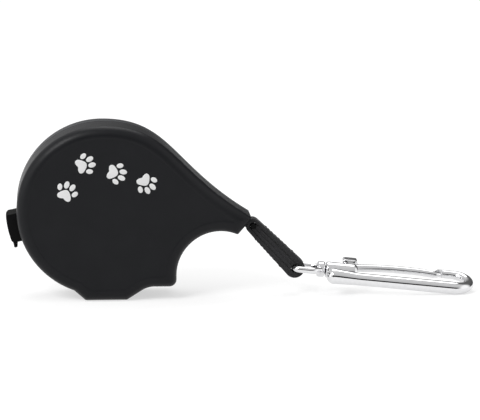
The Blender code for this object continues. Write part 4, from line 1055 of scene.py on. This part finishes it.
def make_stage():
    scene = bpy.context.scene
    scene.view_settings.view_transform = "Standard"
    bm = bmesh.new()
    bmesh.ops.create_grid(bm, x_segments=1, y_segments=1, size=60.0)
    made = bpy.data.materials.new("floor")
    made.use_nodes = True
    tree = made.node_tree
    tree.nodes.clear()
    path = add(tree, "LightPath").outputs
    seen = path["Is Camera Ray"]
    for kind in ("Is Glossy Ray", "Is Transmission Ray"):
        either = add(tree, "Math", operation="MAXIMUM")
        tree.links.new(seen, either.inputs[0])
        tree.links.new(path[kind], either.inputs[1])
        seen = either.outputs["Value"]
    lit = add(tree, "BsdfDiffuse", Color=(0.46, 0.46, 0.46, 1.0)).outputs["BSDF"]
    lift = add(tree, "Math", operation="MULTIPLY")
    tree.links.new(seen, lift.inputs[0])
    lift.inputs[1].default_value = 0.58
    glow = add(tree, "Emission", Strength=lift.outputs["Value"]).outputs["Emission"]
    both = add(tree, "AddShader")
    tree.links.new(lit, both.inputs[0])
    tree.links.new(glow, both.inputs[1])
    out = add(tree, "OutputMaterial", Surface=both.outputs["Shader"])
    out.is_active_output = True
    floor = piece("floor", bm, made)

    world = bpy.data.worlds.new("studio")
    scene.world = world
    world.use_nodes = True
    tree = world.node_tree
    tree.nodes.clear()
    way = add(tree, "TexCoord").outputs["Generated"]
    split = add(tree, "SeparateXYZ", Vector=way).outputs
    room = ramp(tree, split["Z"], (0.0, (0.008,)), (0.32, (0.01,)), (0.42, (0.64,)), (1.0, (0.8,)))
    wall = ramp(tree, split["Z"], (0.0, (0.5,)), (0.35, (0.55,)), (0.65, (0.8,)), (1.0, (0.8,)))
    side = ramp(tree, add(tree, "MapRange", Value=split["X"], From_Min=-0.4, From_Max=0.4).outputs["Result"],
                (0.2, (1.0,)), (0.8, (0.2,)))
    shade = add(tree, "Mix", data_type="RGBA", blend_type="MULTIPLY")
    shade.inputs["Factor"].default_value = 1.0
    tree.links.new(wall, shade.inputs[6])
    tree.links.new(side, shade.inputs[7])
    flanks = ramp(tree, add(tree, "MapRange", Value=split["X"], From_Min=-1.0).outputs["Result"],
                  (0.05, (1.6,)), (0.275, (0.0,)), (0.68, (0.0,)), (0.88, (1.3,)))
    front = add(tree, "Mix", data_type="RGBA", blend_type="LIGHTEN")
    front.inputs["Factor"].default_value = 1.0
    tree.links.new(room, front.inputs[6])
    tree.links.new(flanks, front.inputs[7])
    behind = add(tree, "MapRange", Value=split["Y"], From_Min=0.0, From_Max=0.35).outputs["Result"]
    sky = add(tree, "Mix", data_type="RGBA")
    tree.links.new(behind, sky.inputs["Factor"])
    tree.links.new(front.outputs[2], sky.inputs[6])
    tree.links.new(shade.outputs[2], sky.inputs[7])
    around = add(tree, "Background", Color=sky.outputs[2], Strength=1.0).outputs["Background"]
    add(tree, "OutputWorld", Surface=around)

    for name, spot, size, power in (("key", (-0.6, -0.62, 0.85), 0.5, 7.4), ("top", (0.2, 0.75, 1.5), 1.2, 9.5)):
        lamp = bpy.data.lights.new(name, "AREA")
        lamp.shape = "DISK"
        lamp.size = size
        lamp.energy = power
        holder = bpy.data.objects.new(name, lamp)
        holder.location = spot
        aim = Vector((0.03, 0.0, 0.03)) - Vector(spot)
        holder.rotation_euler = aim.to_track_quat("-Z", "Y").to_euler()
        scene.collection.objects.link(holder)

    lens = bpy.data.cameras.new("camera")
    lens.lens = 187.5
    lens.sensor_width = 36.0
    camera = bpy.data.objects.new("camera", lens)
    rise = math.radians(11.0)
    turn = math.radians(-4.5)
    roll = math.radians(0.4)
    aim = Vector((0.0550, 0.0, 0.0341))
    level = Vector((math.sin(turn), -math.cos(turn), 0.0)) * math.cos(rise)
    camera.location = aim + level + Vector((0.0, 0.0, math.sin(rise)))
    facing = (aim - camera.location).to_track_quat("-Z", "Y").to_matrix()
    camera.rotation_euler = (facing @ Matrix.Rotation(roll, 3, "Z")).to_euler()
    scene.collection.objects.link(camera)
    scene.camera = camera


make_stage()
